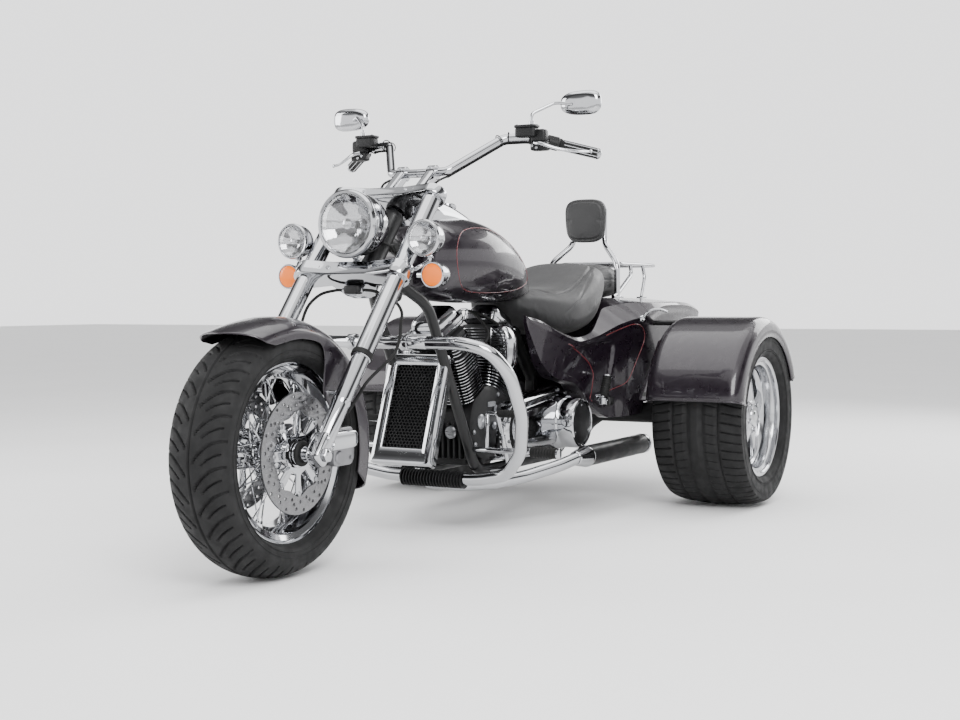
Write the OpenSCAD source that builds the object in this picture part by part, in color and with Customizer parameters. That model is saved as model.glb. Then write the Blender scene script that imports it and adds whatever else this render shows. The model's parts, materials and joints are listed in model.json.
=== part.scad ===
/* [Overall] */
// Distance from the front axle to the rear axle
wheelbase = 1815; // [1700:5:2200]
// Distance between the middles of the two rear tyres
track = 1160; // [1100:5:1400]
// Length of the body behind the rear axle
tail_length = 560; // [500:5:680]

/* [Front wheel] */
// Outer diameter of the front tyre
front_tyre_d = 640; // [600:2:700]
// Width of the front tyre
front_tyre_w = 180; // [130:2:190]
// Diameter of the front rim over its flanges
front_rim_d = 466; // [420:2:470]
// Width of the front rim over its flanges
front_rim_w = 126; // [100:1:150]
// Number of spokes in each of the four spoke rows
spokes_per_row = 10; // [6:1:12]
// Diameter of one spoke
spoke_d = 4; // [3:0.5:5]
// Diameter of the brake discs
disc_d = 310; // [260:2:320]
// Diameter of the front axle
axle_d = 25; // [18:1:30]

/* [Rear wheels] */
// Outer diameter of the rear tyres
rear_tyre_d = 610; // [560:2:740]
// Width of the rear tyres
rear_tyre_w = 310; // [240:2:320]
// Diameter of the rear rims over their flanges
rear_rim_d = 408; // [380:2:420]
// Number of spokes in a rear wheel
rear_spokes = 5; // [4:1:8]
// Diameter of the stub shaft that carries a rear wheel
stub_d = 35; // [25:1:45]

/* [Fork] */
// Lean of the fork from the vertical
rake = 40; // [34:0.5:42]
// Distance between the middles of the fork legs
fork_spacing = 298; // [286:2:330]
// Diameter of the fork's upper tubes
fork_tube_d = 54; // [44:1:60]
// Diameter of the fork's lower sliders
slider_d = 48; // [40:1:52]
// Length of the fork from the axle to the top of its tubes
fork_length = 910; // [890:5:1000]
// Distance from the fork's plane back to the steering stem
stem_offset = 55; // [50:1:70]
// Diameter of the steering stem
stem_d = 32; // [26:1:36]
// Diameter of the headlight over its rim
headlight_d = 190; // [160:2:200]
// Diameter of a spotlight over its rim
spotlight_d = 102; // [90:2:106]

/* [Handlebar] */
// Diameter of the handlebar
bar_d = 25.4; // [22:0.2:28]
// Height of the handlebar's middle above the upper clamp
riser_h = 78; // [60:2:120]
// Half of the distance between the ends of the grips
bar_half_w = 440; // [400:5:520]

/* [Engine] */
// Distance from the front axle back to the middle of the engine's V
engine_y = 1010; // [990:5:1060]
// Lean of each cylinder from the vertical
cylinder_lean = 25; // [22.5:0.5:30]
// Width of the cylinders across the bike
cylinder_w = 190; // [160:2:200]
// Height of the cylinders with their heads
cylinder_h = 220; // [200:2:224]
// Width of the crankcase
crankcase_w = 190; // [160:2:200]
// Diameter of the round cover on the primary case
derby_d = 165; // [140:2:180]
// Width of the radiator's frame
radiator_w = 200; // [170:2:220]
// Height of the radiator's frame along its slope
radiator_h = 337; // [280:2:350]

/* [Frame] */
// Diameter of the frame's tubes
frame_tube_d = 32; // [28:1:38]
// Height of the frame's lower rails above the ground
rail_z = 178; // [170:2:220]
// Diameter of the engine guard's tube
guard_tube_d = 38; // [25:1:40]
// Half of the engine guard's width
guard_half_w = 375; // [330:5:420]

/* [Body] */
// Half of the body's width between the fenders
body_half_w = 330; // [280:2:340]
// Height of the body's top behind the seat
body_top_z = 712; // [690:2:730]
// Thickness of the body's walls round the luggage space
body_wall = 14; // [8:1:20]
// Width of the luggage door
door_w = 420; // [360:5:460]
// Height of the luggage door
door_h = 225; // [200:5:235]
// Thickness of a rear fender's sheet
fender_t = 6; // [3:0.5:8]
// Gap between a rear tyre and its fender
fender_gap = 30; // [24:1:60]
// Length of the fuel tank
tank_length = 704; // [660:4:720]
// Half of the fuel tank's width
tank_half_w = 168; // [140:2:180]
// Height of the backrest pad
backrest_h = 165; // [140:5:200]

/* [Hidden] */
$fn = 48;

paint = "#241c26";
chrome = "#cfd2d6";
steel = "#a9adb1";
black = "#1b1b1d";
rubber = "#2a2a2b";
vinyl = "#3a3b3d";
alloy = "#b9bcc0";
amber = "#e08a1e";
red = "#9c1a1f";

fit = 0.05;
seat_gap = 0.3;
tail_lamp_proud = 22;

front_r = front_tyre_d / 2;
rear_r = rear_tyre_d / 2;
axle_r = axle_d / 2;
body_rear = wheelbase + tail_length;
middle_y = (body_rear + tail_lamp_proud - front_r) / 2;
leg_x = fork_spacing / 2;
tube_r = fork_tube_d / 2;
slider_r = slider_d / 2;
disc_x = 88;
disc_t = 5;
lower_clamp_s = 600;
upper_clamp_s = fork_length - 20;
clamp_t = 46;
upper_clamp_t = 30;
rear_x = track / 2;
fender_in_x = rear_x - rear_tyre_w / 2 - 10;
fender_out_x = rear_x + rear_tyre_w / 2 + 10;
fender_r = rear_r + fender_gap + fender_t;

// Curves, as functions

function unit(v) = v / norm(v);
function along(p, i) = unit(p[min(i + 1, len(p) - 1)] - p[max(i - 1, 0)]);
function square_to(u, t) = unit(u - (u * t) * t);
function start_side(t) = square_to(abs(t[2]) < 0.8 ? [0, 0, 1] : [1, 0, 0], t);
function sides(p, i = 0, u = [0, 0, 1]) =
    i >= len(p) ? [] :
    let (t = along(p, i), v = i == 0 ? start_side(t) : square_to(u, t))
    concat([v], sides(p, i + 1, v));
function circle_ring(c, t, u, r, n) =
    [for (k = [0:n - 1]) c + r * (cos(360 * k / n) * u + sin(360 * k / n) * cross(t, u))];
function bend(a, b, c, d, steps) =
    let (p = b + d * unit(a - b), q = b + d * unit(c - b))
    [for (k = [0:steps]) let (t = k / steps)
        (1 - t) * (1 - t) * p + 2 * t * (1 - t) * b + t * t * q];
function rounded_path(p, d, steps = 4) = concat(
    [p[0]],
    [for (i = [1:len(p) - 2]) each bend(p[i - 1], p[i], p[i + 1], d, steps)],
    [p[len(p) - 1]]);
function power(c, p) = sign(c) * pow(abs(c), 2 / p);
function soft_square(y, w, low, high, p, n) =
    [for (k = [0:n - 1]) let (a = 360 * k / n)
        [w * power(cos(a), p), y, (low + high) / 2 + (high - low) / 2 * power(sin(a), p)]];
function flip(p) = [-p[0], p[1], p[2]];

// Shapes shared by the parts

module loft(rings) {
    n = len(rings[0]);
    m = len(rings);
    points = [for (ring = rings) each ring];
    walls = [for (i = [0:m - 2], j = [0:n - 1]) let (k = (j + 1) % n)
        each [[i * n + j, i * n + k, (i + 1) * n + k], [i * n + j, (i + 1) * n + k, (i + 1) * n + j]]];
    first = [for (j = [n - 1:-1:0]) j];
    last = [for (j = [0:n - 1]) (m - 1) * n + j];
    polyhedron(points, concat([first], walls, [last]));
}

module tube(p, r, n = 12) {
    u = sides(p);
    loft([for (i = [0:len(p) - 1]) circle_ring(p[i], -along(p, i), u[i], r, n)]);
}

module pair() {
    children();
    mirror([1, 0, 0]) children();
}

module place() {
    translate([0, -middle_y, 0]) children();
}

module at_rear() {
    place() translate([0, wheelbase, 0]) children();
}

// Fork frame: origin on the front axle, +Z up along the fork, +Y square to it, backwards
module fork_frame() {
    place() translate([0, 0, front_r]) rotate([-rake, 0, 0]) children();
}

module stem_frame() {
    fork_frame() translate([0, stem_offset, 0]) children();
}

module across(x0, x1, r) {
    translate([x0, 0, 0]) rotate([0, 90, 0]) cylinder(r = r, h = x1 - x0);
}

module block(low, high) {
    translate(low) cube(high - low);
}

// A profile of [radius, x] points turned round the X axis
module turned(profile) {
    rotate([0, 90, 0]) rotate_extrude($fn = 96) polygon(profile);
}

module lamp_shell(r, depth) {
    rotate([-90, 0, 0]) rotate_extrude($fn = 64) polygon(concat(
        [[0, 0], [0.9 * r, 0], [r, 0.08 * r], [r, 0.3 * r]],
        [for (a = [0:15:75]) [0.93 * r * cos(a), 0.3 * r + (depth - 0.3 * r) * sin(a)]],
        [[0, depth]]));
}

// Front wheel

// Half of the tyre from its crown to its bead, mirrored: it wraps the rim's flange at seat_gap
module tyre_shape(r, w, rim_r, flange_x, bed_r, crown) {
    side = concat(
        [for (a = [0:15:90]) [r - crown * (1 - cos(a)), w / 2 * sin(a)]],
        [[rim_r + 18, w / 2 * 0.985], [rim_r + 2, flange_x + 9], [rim_r + seat_gap, flange_x],
        [rim_r - 3, flange_x - 3.6], [bed_r + seat_gap, flange_x - 4.5]]);
    turned(concat(side, [for (i = [len(side) - 1:-1:1]) [side[i][0], -side[i][1]]]));
}

module front_tyre() {
    color(rubber) place() translate([0, 0, front_r])
        tyre_shape(front_r, front_tyre_w, front_rim_d / 2, front_rim_w / 2 - 5, front_rim_d / 2 - 20, 46);
}

module front_rim() {
    r = front_rim_d / 2;
    w = front_rim_w / 2;
    half = [[r, w], [r, w - 5], [r - 3, w - 8], [r - 20, w - 9], [r - 20, w - 28], [r - 39, w - 40]];
    under = [[r - 45, w - 38], [r - 27, w - 22], [r - 27, w - 3], [r - 6, w]];
    color(chrome) place() translate([0, 0, front_r]) turned(concat(
        [for (p = half) p],
        [for (i = [len(half) - 1:-1:0]) [half[i][0], -half[i][1]]],
        [for (i = [len(under) - 1:-1:0]) [under[i][0], -under[i][1]]],
        [for (p = under) p]));
}

module spoke(x_hub, x_rim, turn) {
    a = [x_hub, 0, 46.6];
    out = front_rim_d / 2 - 46;
    b = [x_rim, out * sin(turn), out * cos(turn)];
    d = b - a;
    translate(a) rotate([0, acos(d[2] / norm(d)), atan2(d[1], d[0])])
        cylinder(d = spoke_d, h = norm(d), $fn = 16);
}

module front_spokes() {
    step = 360 / spokes_per_row;
    color(chrome) place() translate([0, 0, front_r])
        for (side = [-1, 1], lead = [0, 1], i = [0:spokes_per_row - 1])
            rotate([(i + 0.5 * lead + 0.25 * (side + 1)) * step, 0, 0])
                spoke(side * (24 + 10 * lead), side * (4 + 10 * lead), lead == 0 ? 46 : -46);
}

module front_hub() {
    color(chrome) place() translate([0, 0, front_r]) turned([
        [axle_r + fit, -96], [28, -96], [36, -90], [36, -60], [32, -44], [44, -42], [44, -18],
        [32, -14], [32, 14], [44, 18], [44, 42], [32, 44], [36, 60], [36, 90], [28, 96],
        [axle_r + fit, 96]]);
}

module front_brake_discs() {
    color(steel) place() translate([0, 0, front_r]) pair()
        difference() {
            across(disc_x - disc_t / 2, disc_x + disc_t / 2, disc_d / 2, $fn = 96);
            across(disc_x - disc_t, disc_x + disc_t, 36 + seat_gap);
            for (i = [0:4]) rotate([i * 72, 0, 0])
                translate([0, 0, disc_d * 0.31]) across(disc_x - disc_t, disc_x + disc_t, 9, $fn = 24);
        }
}

// Rear wheels

module rear_tyre() {
    at_rear() translate([rear_x, 0, rear_r])
        tyre_shape(rear_r, rear_tyre_w, rear_rim_d / 2, rear_tyre_w / 2 - 26, rear_rim_d / 2 - 18, 26);
}

module rear_wheel() {
    r = rear_rim_d / 2;
    w = rear_tyre_w / 2 - 20;
    hub_x = w - 96;
    at_rear() translate([rear_x, 0, rear_r]) difference() {
        union() {
            turned([[r, -w], [r, -w + 6], [r - 18, -w + 9], [r - 18, -w + 30], [r - 34, -w + 60],
                [r - 34, w - 60], [r - 18, w - 30], [r - 18, w - 9], [r, w - 6], [r, w],
                [r - 10, w], [r - 28, w - 16], [r - 46, w - 64], [r - 40, -w + 60],
                [r - 24, -w + 26], [r - 10, -w]]);
            turned([[0, hub_x], [62, hub_x], [56, w - 30], [0, w - 22]]);
            for (i = [0:rear_spokes - 1]) rotate([i * 360 / rear_spokes, 0, 0])
                translate([w - 82, 0, 30]) rotate([0, 0, 90]) rotate([90, 0, 0])
                    linear_extrude(38) polygon([[-27, 0], [27, 0], [19, r - 74], [-19, r - 74]]);
        }
        across(hub_x - 10, w - 44, stub_d / 2 + fit);
    }
}

module rear_tyre_left() {
    color(rubber) rear_tyre();
}

module rear_tyre_right() {
    color(rubber) mirror([1, 0, 0]) rear_tyre();
}

module rear_wheel_left() {
    color(alloy) rear_wheel();
}

module rear_wheel_right() {
    color(alloy) mirror([1, 0, 0]) rear_wheel();
}

// Fork and front end

lug_in = leg_x - 24;
lug_out = leg_x + 22;

module front_axle() {
    color(chrome) place() translate([0, 0, front_r]) turned([
        [0, -lug_out - 10], [17, -lug_out - 10], [17, -lug_out], [axle_r, -lug_out],
        [axle_r, -lug_in], [21, -lug_in], [21, -96 - 1], [axle_r, -96 - 1], [axle_r, 96 + 1],
        [21, 96 + 1], [21, lug_in], [axle_r, lug_in], [axle_r, lug_out], [17, lug_out],
        [17, lug_out + 10], [0, lug_out + 10]]);
}

caliper_x = 122;

module fork_leg() {
    fork_frame() difference() {
        union() {
            translate([leg_x, 0, 155]) cylinder(r = slider_r - 1, h = 165);
            translate([leg_x, 0, 313]) cylinder(r = tube_r, h = fork_length - 313);
            translate([leg_x, 0, 20]) cylinder(r = slider_r, h = 140);
            block([lug_in, -28, -30], [lug_out, 28, 60]);
            rotate([rake, 0, 0]) block([caliper_x + 0.02, 21.5, 0], [leg_x, 186, 52]);
        }
        across(lug_in - 10, lug_out + 10, axle_r + fit);
    }
}

module fork_legs() {
    color(chrome) pair() fork_leg();
}

module clamp_plate(s, t, front, back, stem_bore) {
    difference() {
        fork_frame() translate([0, 0, s - t / 2]) {
            linear_extrude(t) polygon([
                [-leg_x, -front], [leg_x, -front], [leg_x, front * 0.7], [60, back], [-60, back],
                [-leg_x, front * 0.7]]);
            pair() translate([leg_x, 0, 0]) cylinder(r = tube_r + 10, h = t);
        }
        pair() fork_frame() translate([leg_x, 0, s - t]) cylinder(r = tube_r + 0.1, h = 2 * t);
        if (stem_bore) stem_frame() translate([0, 0, s - t]) cylinder(d = stem_d + 0.2, h = 2 * t);
    }
}

splitter_s = lower_clamp_s - clamp_t / 2 - 12;

module lower_triple_clamp() {
    color(chrome) {
        clamp_plate(lower_clamp_s, clamp_t, 34, 82, false);
        stem_frame() translate([0, 0, lower_clamp_s]) cylinder(d = stem_d, h = upper_clamp_s + 25 - lower_clamp_s);
        fork_frame() block([-26, 18, splitter_s - 10], [26, 42, splitter_s + 13]);
    }
}

module upper_triple_clamp() {
    color(chrome) clamp_plate(upper_clamp_s, upper_clamp_t, 34, 86, true);
}

front_fender_r = front_r + 26;
front_fender_w = front_tyre_w / 2 + 10;
fender_side_t = 3;

fender_bolt = [120, 146];

// Outline of the fender's side, in the plane of the wheel, seen from the left
module fender_side() {
    intersection() {
        circle(r = front_fender_r, $fn = 96);
        polygon([[-150, 250], [-60, 312], [60, 300], [70, 190], [96, 128], [150, 120],
            [200, 60], [262, 40], [400, 40], [400, 400], [-150, 400]]);
    }
}

module front_fender() {
    color(paint) place() translate([0, 0, front_r]) {
        rotate([0, 90, 0]) rotate([0, 0, 90 + 0])
            rotate([0, 0, 4]) rotate_extrude(angle = 114, $fn = 96) polygon(concat(
                [for (a = [-90:15:90]) [front_fender_r - 22 + 24 * cos(a), front_fender_w * sin(a)]],
                [for (a = [90:-15:-90]) [front_fender_r - 22 + 21 * cos(a), (front_fender_w - fender_side_t) * sin(a)]]));
        pair() translate([front_fender_w - fender_side_t, 0, 0]) rotate([90, 0, 90])
            linear_extrude(fender_side_t) fender_side();
        pair() translate([0, fender_bolt[0], fender_bolt[1]])
            across(front_fender_w - 1, leg_x - slider_r + 0.7, 8);
    }
}

module caliper() {
    difference() {
        union() {
            block([72, 112, -46], [caliper_x, 206, 56]);
            block([78, 200, -30], [116, 214, 40]);
        }
        across(disc_x - disc_t / 2 - 5, disc_x + disc_t / 2 + 5, disc_d / 2 + 6, $fn = 96);
    }
}

module brake_calipers() {
    color(steel) place() translate([0, 0, front_r]) pair() caliper();
}

// Routes of the hoses and cables, from the front axle's middle on the ground
splitter_y = 387;
splitter_z = 734;
left_hose = [[26.5, splitter_y, splitter_z], [38, splitter_y, splitter_z], [70, 396, 729], [120, 404, 706], [158, 385, 675], [172, 358, 640],
    [176, 345, 600], [172, 322, 560], [160, 285, 530], [140, 240, 490], [118, 215, 440],
    [112, 180, 408], [104, 150, 394], [104, 150, 376.4]];
right_hose = [[-26.5, splitter_y, splitter_z], [-38, splitter_y, splitter_z], [-60, 384, 733], [-100, 372, 722], [-128, 352, 690],
    [-136, 330, 640], [-132, 300, 580], [-124, 260, 510], [-118, 215, 440], [-112, 180, 408],
    [-104, 150, 394], [-104, 150, 376.4]];
hose_r = 4.5;

module brake_hoses() {
    color(black) place() {
        tube(left_hose, hose_r, 8);
        tube(right_hose, hose_r, 8);
    }
}

headlight_at = [0, 350, 916];

module headlight() {
    r = headlight_d / 2;
    color(chrome) place() {
        translate(headlight_at) lamp_shell(r, 150);
    }
    color(chrome) fork_frame() translate([0, -5, lower_clamp_s + clamp_t / 2 + seat_gap]) cylinder(r = 12, h = 52);
}

spot_at = [217, 399, 874];
signal_at = [239, 411, 774];

module spotlights() {
    color(chrome) place() pair() {
        translate(spot_at) lamp_shell(spotlight_d / 2, 74);
        tube([spot_at + [0, 34, -38], spot_at + [0, 34, -64], [leg_x + 52, 408, 796], [leg_x + 38.4, 408, 790]], 6, 8);
    }
}

module front_turn_signals() {
    color(amber) place() pair() {
        translate(signal_at) lamp_shell(36, 74);
        tube([signal_at + [-20, 30, 0], [leg_x + 38.4, signal_at[1] + 6, signal_at[2]]], 8, 8);
    }
}

// Handlebar, with the points of its left half
riser_x = 52;
bar_at = [0, 738, 1082];
grip_in = [312, 938, 1182];
grip_out = [bar_half_w, 1048, 1146];
bar_route = rounded_path([bar_at + [riser_x + 24, 0, 0], bar_at + [riser_x + 44, 4, 2], [202, 900, 1190],
    [268, 926, 1192], grip_in, grip_out], 14);

// Foot of a riser on the upper clamp, in the frame place() gives
module riser_foot() {
    translate([0, 0, front_r]) rotate([-rake, 0, 0])
        block([0, 24, upper_clamp_s + upper_clamp_t / 2 + seat_gap], [30, 60, upper_clamp_s + upper_clamp_t / 2 + 14]);
}

module handlebar() {
    color(chrome) {
        place() translate(bar_at) across(-riser_x - 24, riser_x + 24, bar_d / 2);
        place() pair() tube(bar_route, bar_d / 2, 16);
        pair() place() difference() {
            hull() {
                translate(bar_at + [riser_x - 15, 0, 0]) across(0, 30, 22);
                translate([riser_x - 15, 0, 0]) riser_foot();
            }
            translate(bar_at) across(0, 2 * riser_x, bar_d / 2 - 0.5);
        }
    }
}

function bar_turn(d) = [0, acos(d[2]), atan2(d[1], d[0])];
grip_way = unit(grip_out - grip_in);
grip_long = norm(grip_out - grip_in);
control_start = 16;
control_long = 36;

module on_bar(start, long, r) {
    translate(grip_in + start * grip_way) rotate(bar_turn(grip_way)) cylinder(r = r, h = long);
}

module hand_grips() {
    start = control_start + control_long + 1;
    color(rubber) place() pair() difference() {
        on_bar(start, grip_long - start + 8, 15.5);
        on_bar(0, grip_long + seat_gap, bar_d / 2 + seat_gap);
    }
}

module hand_controls() {
    color(black) place() pair() {
        difference() {
            union() {
                on_bar(control_start, control_long, 22);
                block(grip_in + [-20, -44, -34], grip_in + [34, -8, -8]);
                block(grip_in + [-64, -62, 6], grip_in + [4, -24, 42]);
                block(grip_in + [-20, -44, -10], grip_in + [30, -12, 30]);
            }
            tube(bar_route, bar_d / 2 + 0.5, 16);
        }
        tube([grip_in + [-6, -40, -12], grip_in + [40, -36, -18], [462, 968, 1137]], 6, 8);
    }
}

cable_r = 3.5;
cable_side = [0, 0.547, -0.837];
cable_route = concat(
    [[bar_at[0] + 84, 655, 1014], [bar_at[0] + 92, 690, 1050]],
    [for (i = [4:14]) bar_route[i] + (bar_d / 2 + cable_r + 0.9) * cable_side]);

module control_cables() {
    color(black) place() pair() tube(cable_route, cable_r, 8);
}

mirror_at = [411, 993, 1294];

module mirrors() {
    color(chrome) place() pair() {
        tube(rounded_path([grip_in + [-14, -42, 42.4], grip_in + [-14, -42, 72], [360, 950, 1290],
            mirror_at + [-20, -12, 0]], 8), 5, 10);
        translate(mirror_at) rotate([90, 0, 0]) linear_extrude(22, center = true)
            polygon([for (a = [0:15:345]) [66 * power(cos(a), 3.2), (36 + 4 * cos(a)) * power(sin(a), 3.2)]]);
    }
}

// Frame

rail_x = 90;
rail_r = frame_tube_d / 2;
stem_y = stem_offset * cos(rake);
stem_z = front_r - stem_offset * sin(rake);
neck_low = lower_clamp_s + clamp_t / 2 + 6;
neck_high = upper_clamp_s - upper_clamp_t / 2 - 6;
function stem_point(s) = [0, stem_y + s * sin(rake), stem_z + s * cos(rake)];
downtube = rounded_path([stem_point(neck_low + 40) + [20, 22, -6], [rail_x, 640, 690], [rail_x, 910, rail_z + 20],
    [rail_x, 950, rail_z], [rail_x, wheelbase - 330, rail_z], [rail_x, wheelbase - 230, 232],
    [rail_x, wheelbase - 230, rear_r + 36]], 18);
backbone = rounded_path([stem_point((neck_low + neck_high) / 2 + 20) + [0, 20, 0], [0, 700, 830], [0, 1180, 765],
    [0, 1310, 700], [0, 1350, 590], [0, wheelbase - 330, 440]], 40);

module frame() {
    color(black) {
        difference() {
            union() {
                stem_frame() translate([0, 0, neck_low]) cylinder(r = 29, h = neck_high - neck_low);
                place() tube(backbone, 22, 16);
                place() pair() tube(downtube, rail_r, 12);
                place() block([-rail_x, 1330, rail_z - 12], [rail_x, 1360, rail_z + 12]);
                place() block([-rail_x, wheelbase - 345, rail_z - 12], [rail_x, wheelbase - 315, rail_z + 12]);
                place() block([-18, wheelbase - 348, rail_z], [18, wheelbase - 316, 456]);
            }
            stem_frame() translate([0, 0, neck_low - 20]) cylinder(d = stem_d + 2 * fit, h = neck_high - neck_low + 40);
        }
    }
}

subframe_z = rear_r + 36.3;
cavity_top = rear_r + 116;

// Bar from the body's side to the fender's inner wall, round the rear axle
module fender_strut(turn, from_x) {
    r = fender_r - 20;
    translate([0, r * cos(turn), rear_r + r * sin(turn)])
        block([from_x, -15, -14], [fender_in_x - fender_t, 15, 14]);
}

module rear_subframe() {
    color(black) at_rear() {
        pair() block([120, -250, subframe_z], [150, 150, subframe_z + 36]);
        block([-260, -250, subframe_z], [260, -205, subframe_z + 36]);
        pair() block([160, -250, subframe_z + 30], [190, -205, cavity_top - seat_gap]);
        pair() block([120, 110, subframe_z + 30], [150, 150, cavity_top - seat_gap]);
        pair() fender_strut(90, body_half_w - 5.5);
        pair() fender_strut(140, body_half_w - 68.5);
        pair() fender_strut(36, body_half_w - 2);
    }
}

housing_x = fender_in_x - 12;

module rear_axle() {
    color(black) at_rear() translate([0, 0, rear_r]) turned([
        [0, -rear_x - 60], [stub_d / 2, -rear_x - 60], [stub_d / 2, -housing_x - 12], [58, -housing_x - 12],
        [58, -housing_x], [36, -housing_x + 4], [36, -110], [88, -64], [88, 64], [36, 110],
        [36, housing_x - 4], [58, housing_x], [58, housing_x + 12], [stub_d / 2, housing_x + 12],
        [stub_d / 2, rear_x + 60], [0, rear_x + 60]]);
}

// Engine

case_top = 402;
case_low = rail_z + rail_r + seat_gap;
case_step = 38;
cylinder_out = 72;

// Height of the crankcase under the cylinders' tilted feet, at a distance from the V's middle
function case_under(d) = case_top + 6 - seat_gap - (d - cylinder_out) * tan(cylinder_lean);

module crankcase() {
    w = crankcase_w / 2;
    color(black) place() {
        translate([-w, 0, 0]) rotate([90, 0, 90]) linear_extrude(2 * w) polygon([
            [engine_y - case_step, case_low], [engine_y + 400, case_low], [engine_y + 440, 240],
            [engine_y + 440, 350], [engine_y + 400, 385], [engine_y + 150, case_under(150)],
            [engine_y, case_under(0)], [engine_y - case_step, case_under(case_step)]]);
        translate([-70, 0, 0]) rotate([90, 0, 90]) linear_extrude(140) polygon([
            [engine_y - 180, 230], [engine_y - 130, case_low], [engine_y - case_step + 1, case_low],
            [engine_y - case_step + 1, case_under(case_step)], [engine_y - 150, case_under(150)], [engine_y - 180, 340]]);
    }
}

module on_cylinder(side) {
    place() translate([0, engine_y + side * cylinder_out, case_top + 6]) rotate([-side * cylinder_lean, 0, 0]) children();
}

module fin_block(w, d, h, r) {
    linear_extrude(h) polygon([for (a = [0:15:345]) [w / 2 * power(cos(a), r), d / 2 * power(sin(a), r)]]);
}

module cylinders() {
    color(black) for (side = [-1, 1]) on_cylinder(side) {
        fin_block(cylinder_w, 136, cylinder_h - 58, 5);
        translate([0, 0, cylinder_h - 58.5]) fin_block(cylinder_w - 24, 136, 58.2, 5);
    }
}

module rocker_boxes() {
    color(chrome) for (side = [-1, 1]) on_cylinder(side) translate([0, 0, cylinder_h]) {
        fin_block(126, 180, 34, 6);
        translate([0, 0, 33]) fin_block(112, 150, 18, 6);
    }
}

primary_x = crankcase_w / 2;
derby_at = [252, 1366, 300];

module primary_cover() {
    color(chrome) place() {
        translate([primary_x, 0, 0]) rotate([90, 0, 90]) linear_extrude(100) hull() {
            translate([engine_y + 70, 296]) circle(r = 92, $fn = 64);
            translate([derby_at[1] - 4, derby_at[2] + 6]) circle(r = 111, $fn = 64);
        }
        translate([primary_x + 99, derby_at[1], derby_at[2]]) across(0, derby_at[0] - primary_x - 99, derby_d / 2, $fn = 64);
    }
}

module timing_cover() {
    color(chrome) place() translate([-crankcase_w / 2 - 60, 0, 0]) rotate([90, 0, 90])
        linear_extrude(60) hull() {
            translate([engine_y - 14, 300]) circle(r = 70, $fn = 64);
            translate([engine_y + 110, 310]) circle(r = 60, $fn = 64);
        }
}

manifold_z = 560;
manifold_y = cylinder_out - 68 * cos(cylinder_lean) + (manifold_z - case_top - 6 - 68 * sin(cylinder_lean)) * tan(cylinder_lean);

module air_cleaner() {
    color(chrome) place() {
        translate([0, engine_y, 535]) across(-crankcase_w / 2 - 84, -crankcase_w / 2 - 6, 92, $fn = 64);
        block([-crankcase_w / 2 - 7, engine_y - manifold_y + 0.5, manifold_z],
            [40, engine_y + manifold_y - 0.5, manifold_z + 30]);
    }
}

module horn() {
    color(chrome) place() {
        translate([0, engine_y + 8 - 28, 0]) rotate([90, 0, 0]) mirror([0, 0, 1]) linear_extrude(56)
            polygon([[104, 488], [150, 488], [172, 500], [176, 590], [164, 618], [140, 630], [104, 626]]);
        block([44, engine_y - manifold_y - 0.2, manifold_z], [105, engine_y + manifold_y + 0.2, manifold_z + 24]);
    }
}

radiator_lean = atan(118 / 316);

module radiator_frame() {
    place() translate([0, 690, 382]) rotate([radiator_lean, 0, 0]) children();
}

module radiator() {
    color(black) radiator_frame() {
        block([-radiator_w / 2 + 12, 1, -radiator_h / 2 + 12], [radiator_w / 2 - 12, 46, radiator_h / 2 - 12]);
        pair() block([radiator_w / 2 - 22, 40, 60], [radiator_w / 2 - 12, 76.3, 90]);
        pair() block([radiator_w / 2 - 22, 40, -90], [radiator_w / 2 - 12, 97.3, -60]);
    }
}

module radiator_shroud() {
    w = radiator_w / 2;
    h = radiator_h / 2;
    color(chrome) radiator_frame() difference() {
        block([-w, -14, -h], [w, 30, h]);
        block([-w + 12 - seat_gap, -1 + 1.7, -h + 12 - seat_gap], [w - 12 + seat_gap, 40, h - 12 + seat_gap]);
        block([-w + 31, -20, -h + 34], [w - 31, 10, h - 48]);
    }
}

module voltage_regulator() {
    color(black) place() translate([0, 822, 162]) {
        for (i = [-5:5]) across(i * 11 - 3, i * 11 + 3, 26, $fn = 32);
        across(-111.7, 111.7, 18);
    }
}

guard_route = rounded_path([[160, 520, 586], [guard_half_w - 95, 520, 586], [guard_half_w + 6, 585, 495],
    [guard_half_w, 670, 375], [guard_half_w - 45, 750, 262], [guard_half_w - 120, 806, 184],
    [150, 820, 166], [112, 820, 166]], 34, 5);

module engine_guard() {
    r = guard_tube_d / 2;
    color(chrome) place() {
        translate([0, 520, 586]) across(-160, 160, r);
        pair() tube(guard_route, r, 16);
        pair() block([rail_x - 10, 520 + r - 4, 574], [rail_x + 10, 675, 592]);
    }
}

// Exhaust

muffler_x = 289;
muffler_y = wheelbase - 590;
muffler_z = 198;
muffler_end = wheelbase - 15;

module muffler(x) {
    long = muffler_end - muffler_y;
    place() translate([x, muffler_y, muffler_z]) rotate([-90, 0, 0]) rotate_extrude($fn = 64) polygon([
        [0, 0], [23, 0], [34, 70], [34, long - 40], [30, long], [24, long], [24, long - 60], [0, long - 60]]);
}

// Left pipe from the crossover under the engine, and the right pipe from the front head
left_pipe = [[-160, engine_y + 20, 190], [-120, engine_y - 40, 145], [-60, engine_y - 110, 138],
    [60, engine_y - 120, 138], [140, engine_y - 60, 142], [190, engine_y + 50, 152],
    [262, engine_y + 150, 180], [muffler_x, muffler_y + 2, muffler_z]];
head_y = 153;
head_z = 581;
right_pipe = [[-83.4, engine_y - head_y, head_z], [-150, engine_y - head_y, head_z],
    [-182, engine_y - 140, 470], [-184, engine_y - 60, 340], [-186, engine_y - 20, 230],
    [-200, engine_y + 60, 166], [-250, engine_y + 150, 176], [-muffler_x, muffler_y + 2, muffler_z]];
rear_pipe = [[-83.4, engine_y + 120, 592], [-128, engine_y + 120, 592],
    [-165, engine_y + 120, 530], [-185, engine_y + 115, 430], [-196, engine_y + 115, 330],
    [-216, engine_y + 140, 230], [-260, engine_y + 170, 184]];
pipe_r = 20;

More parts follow.
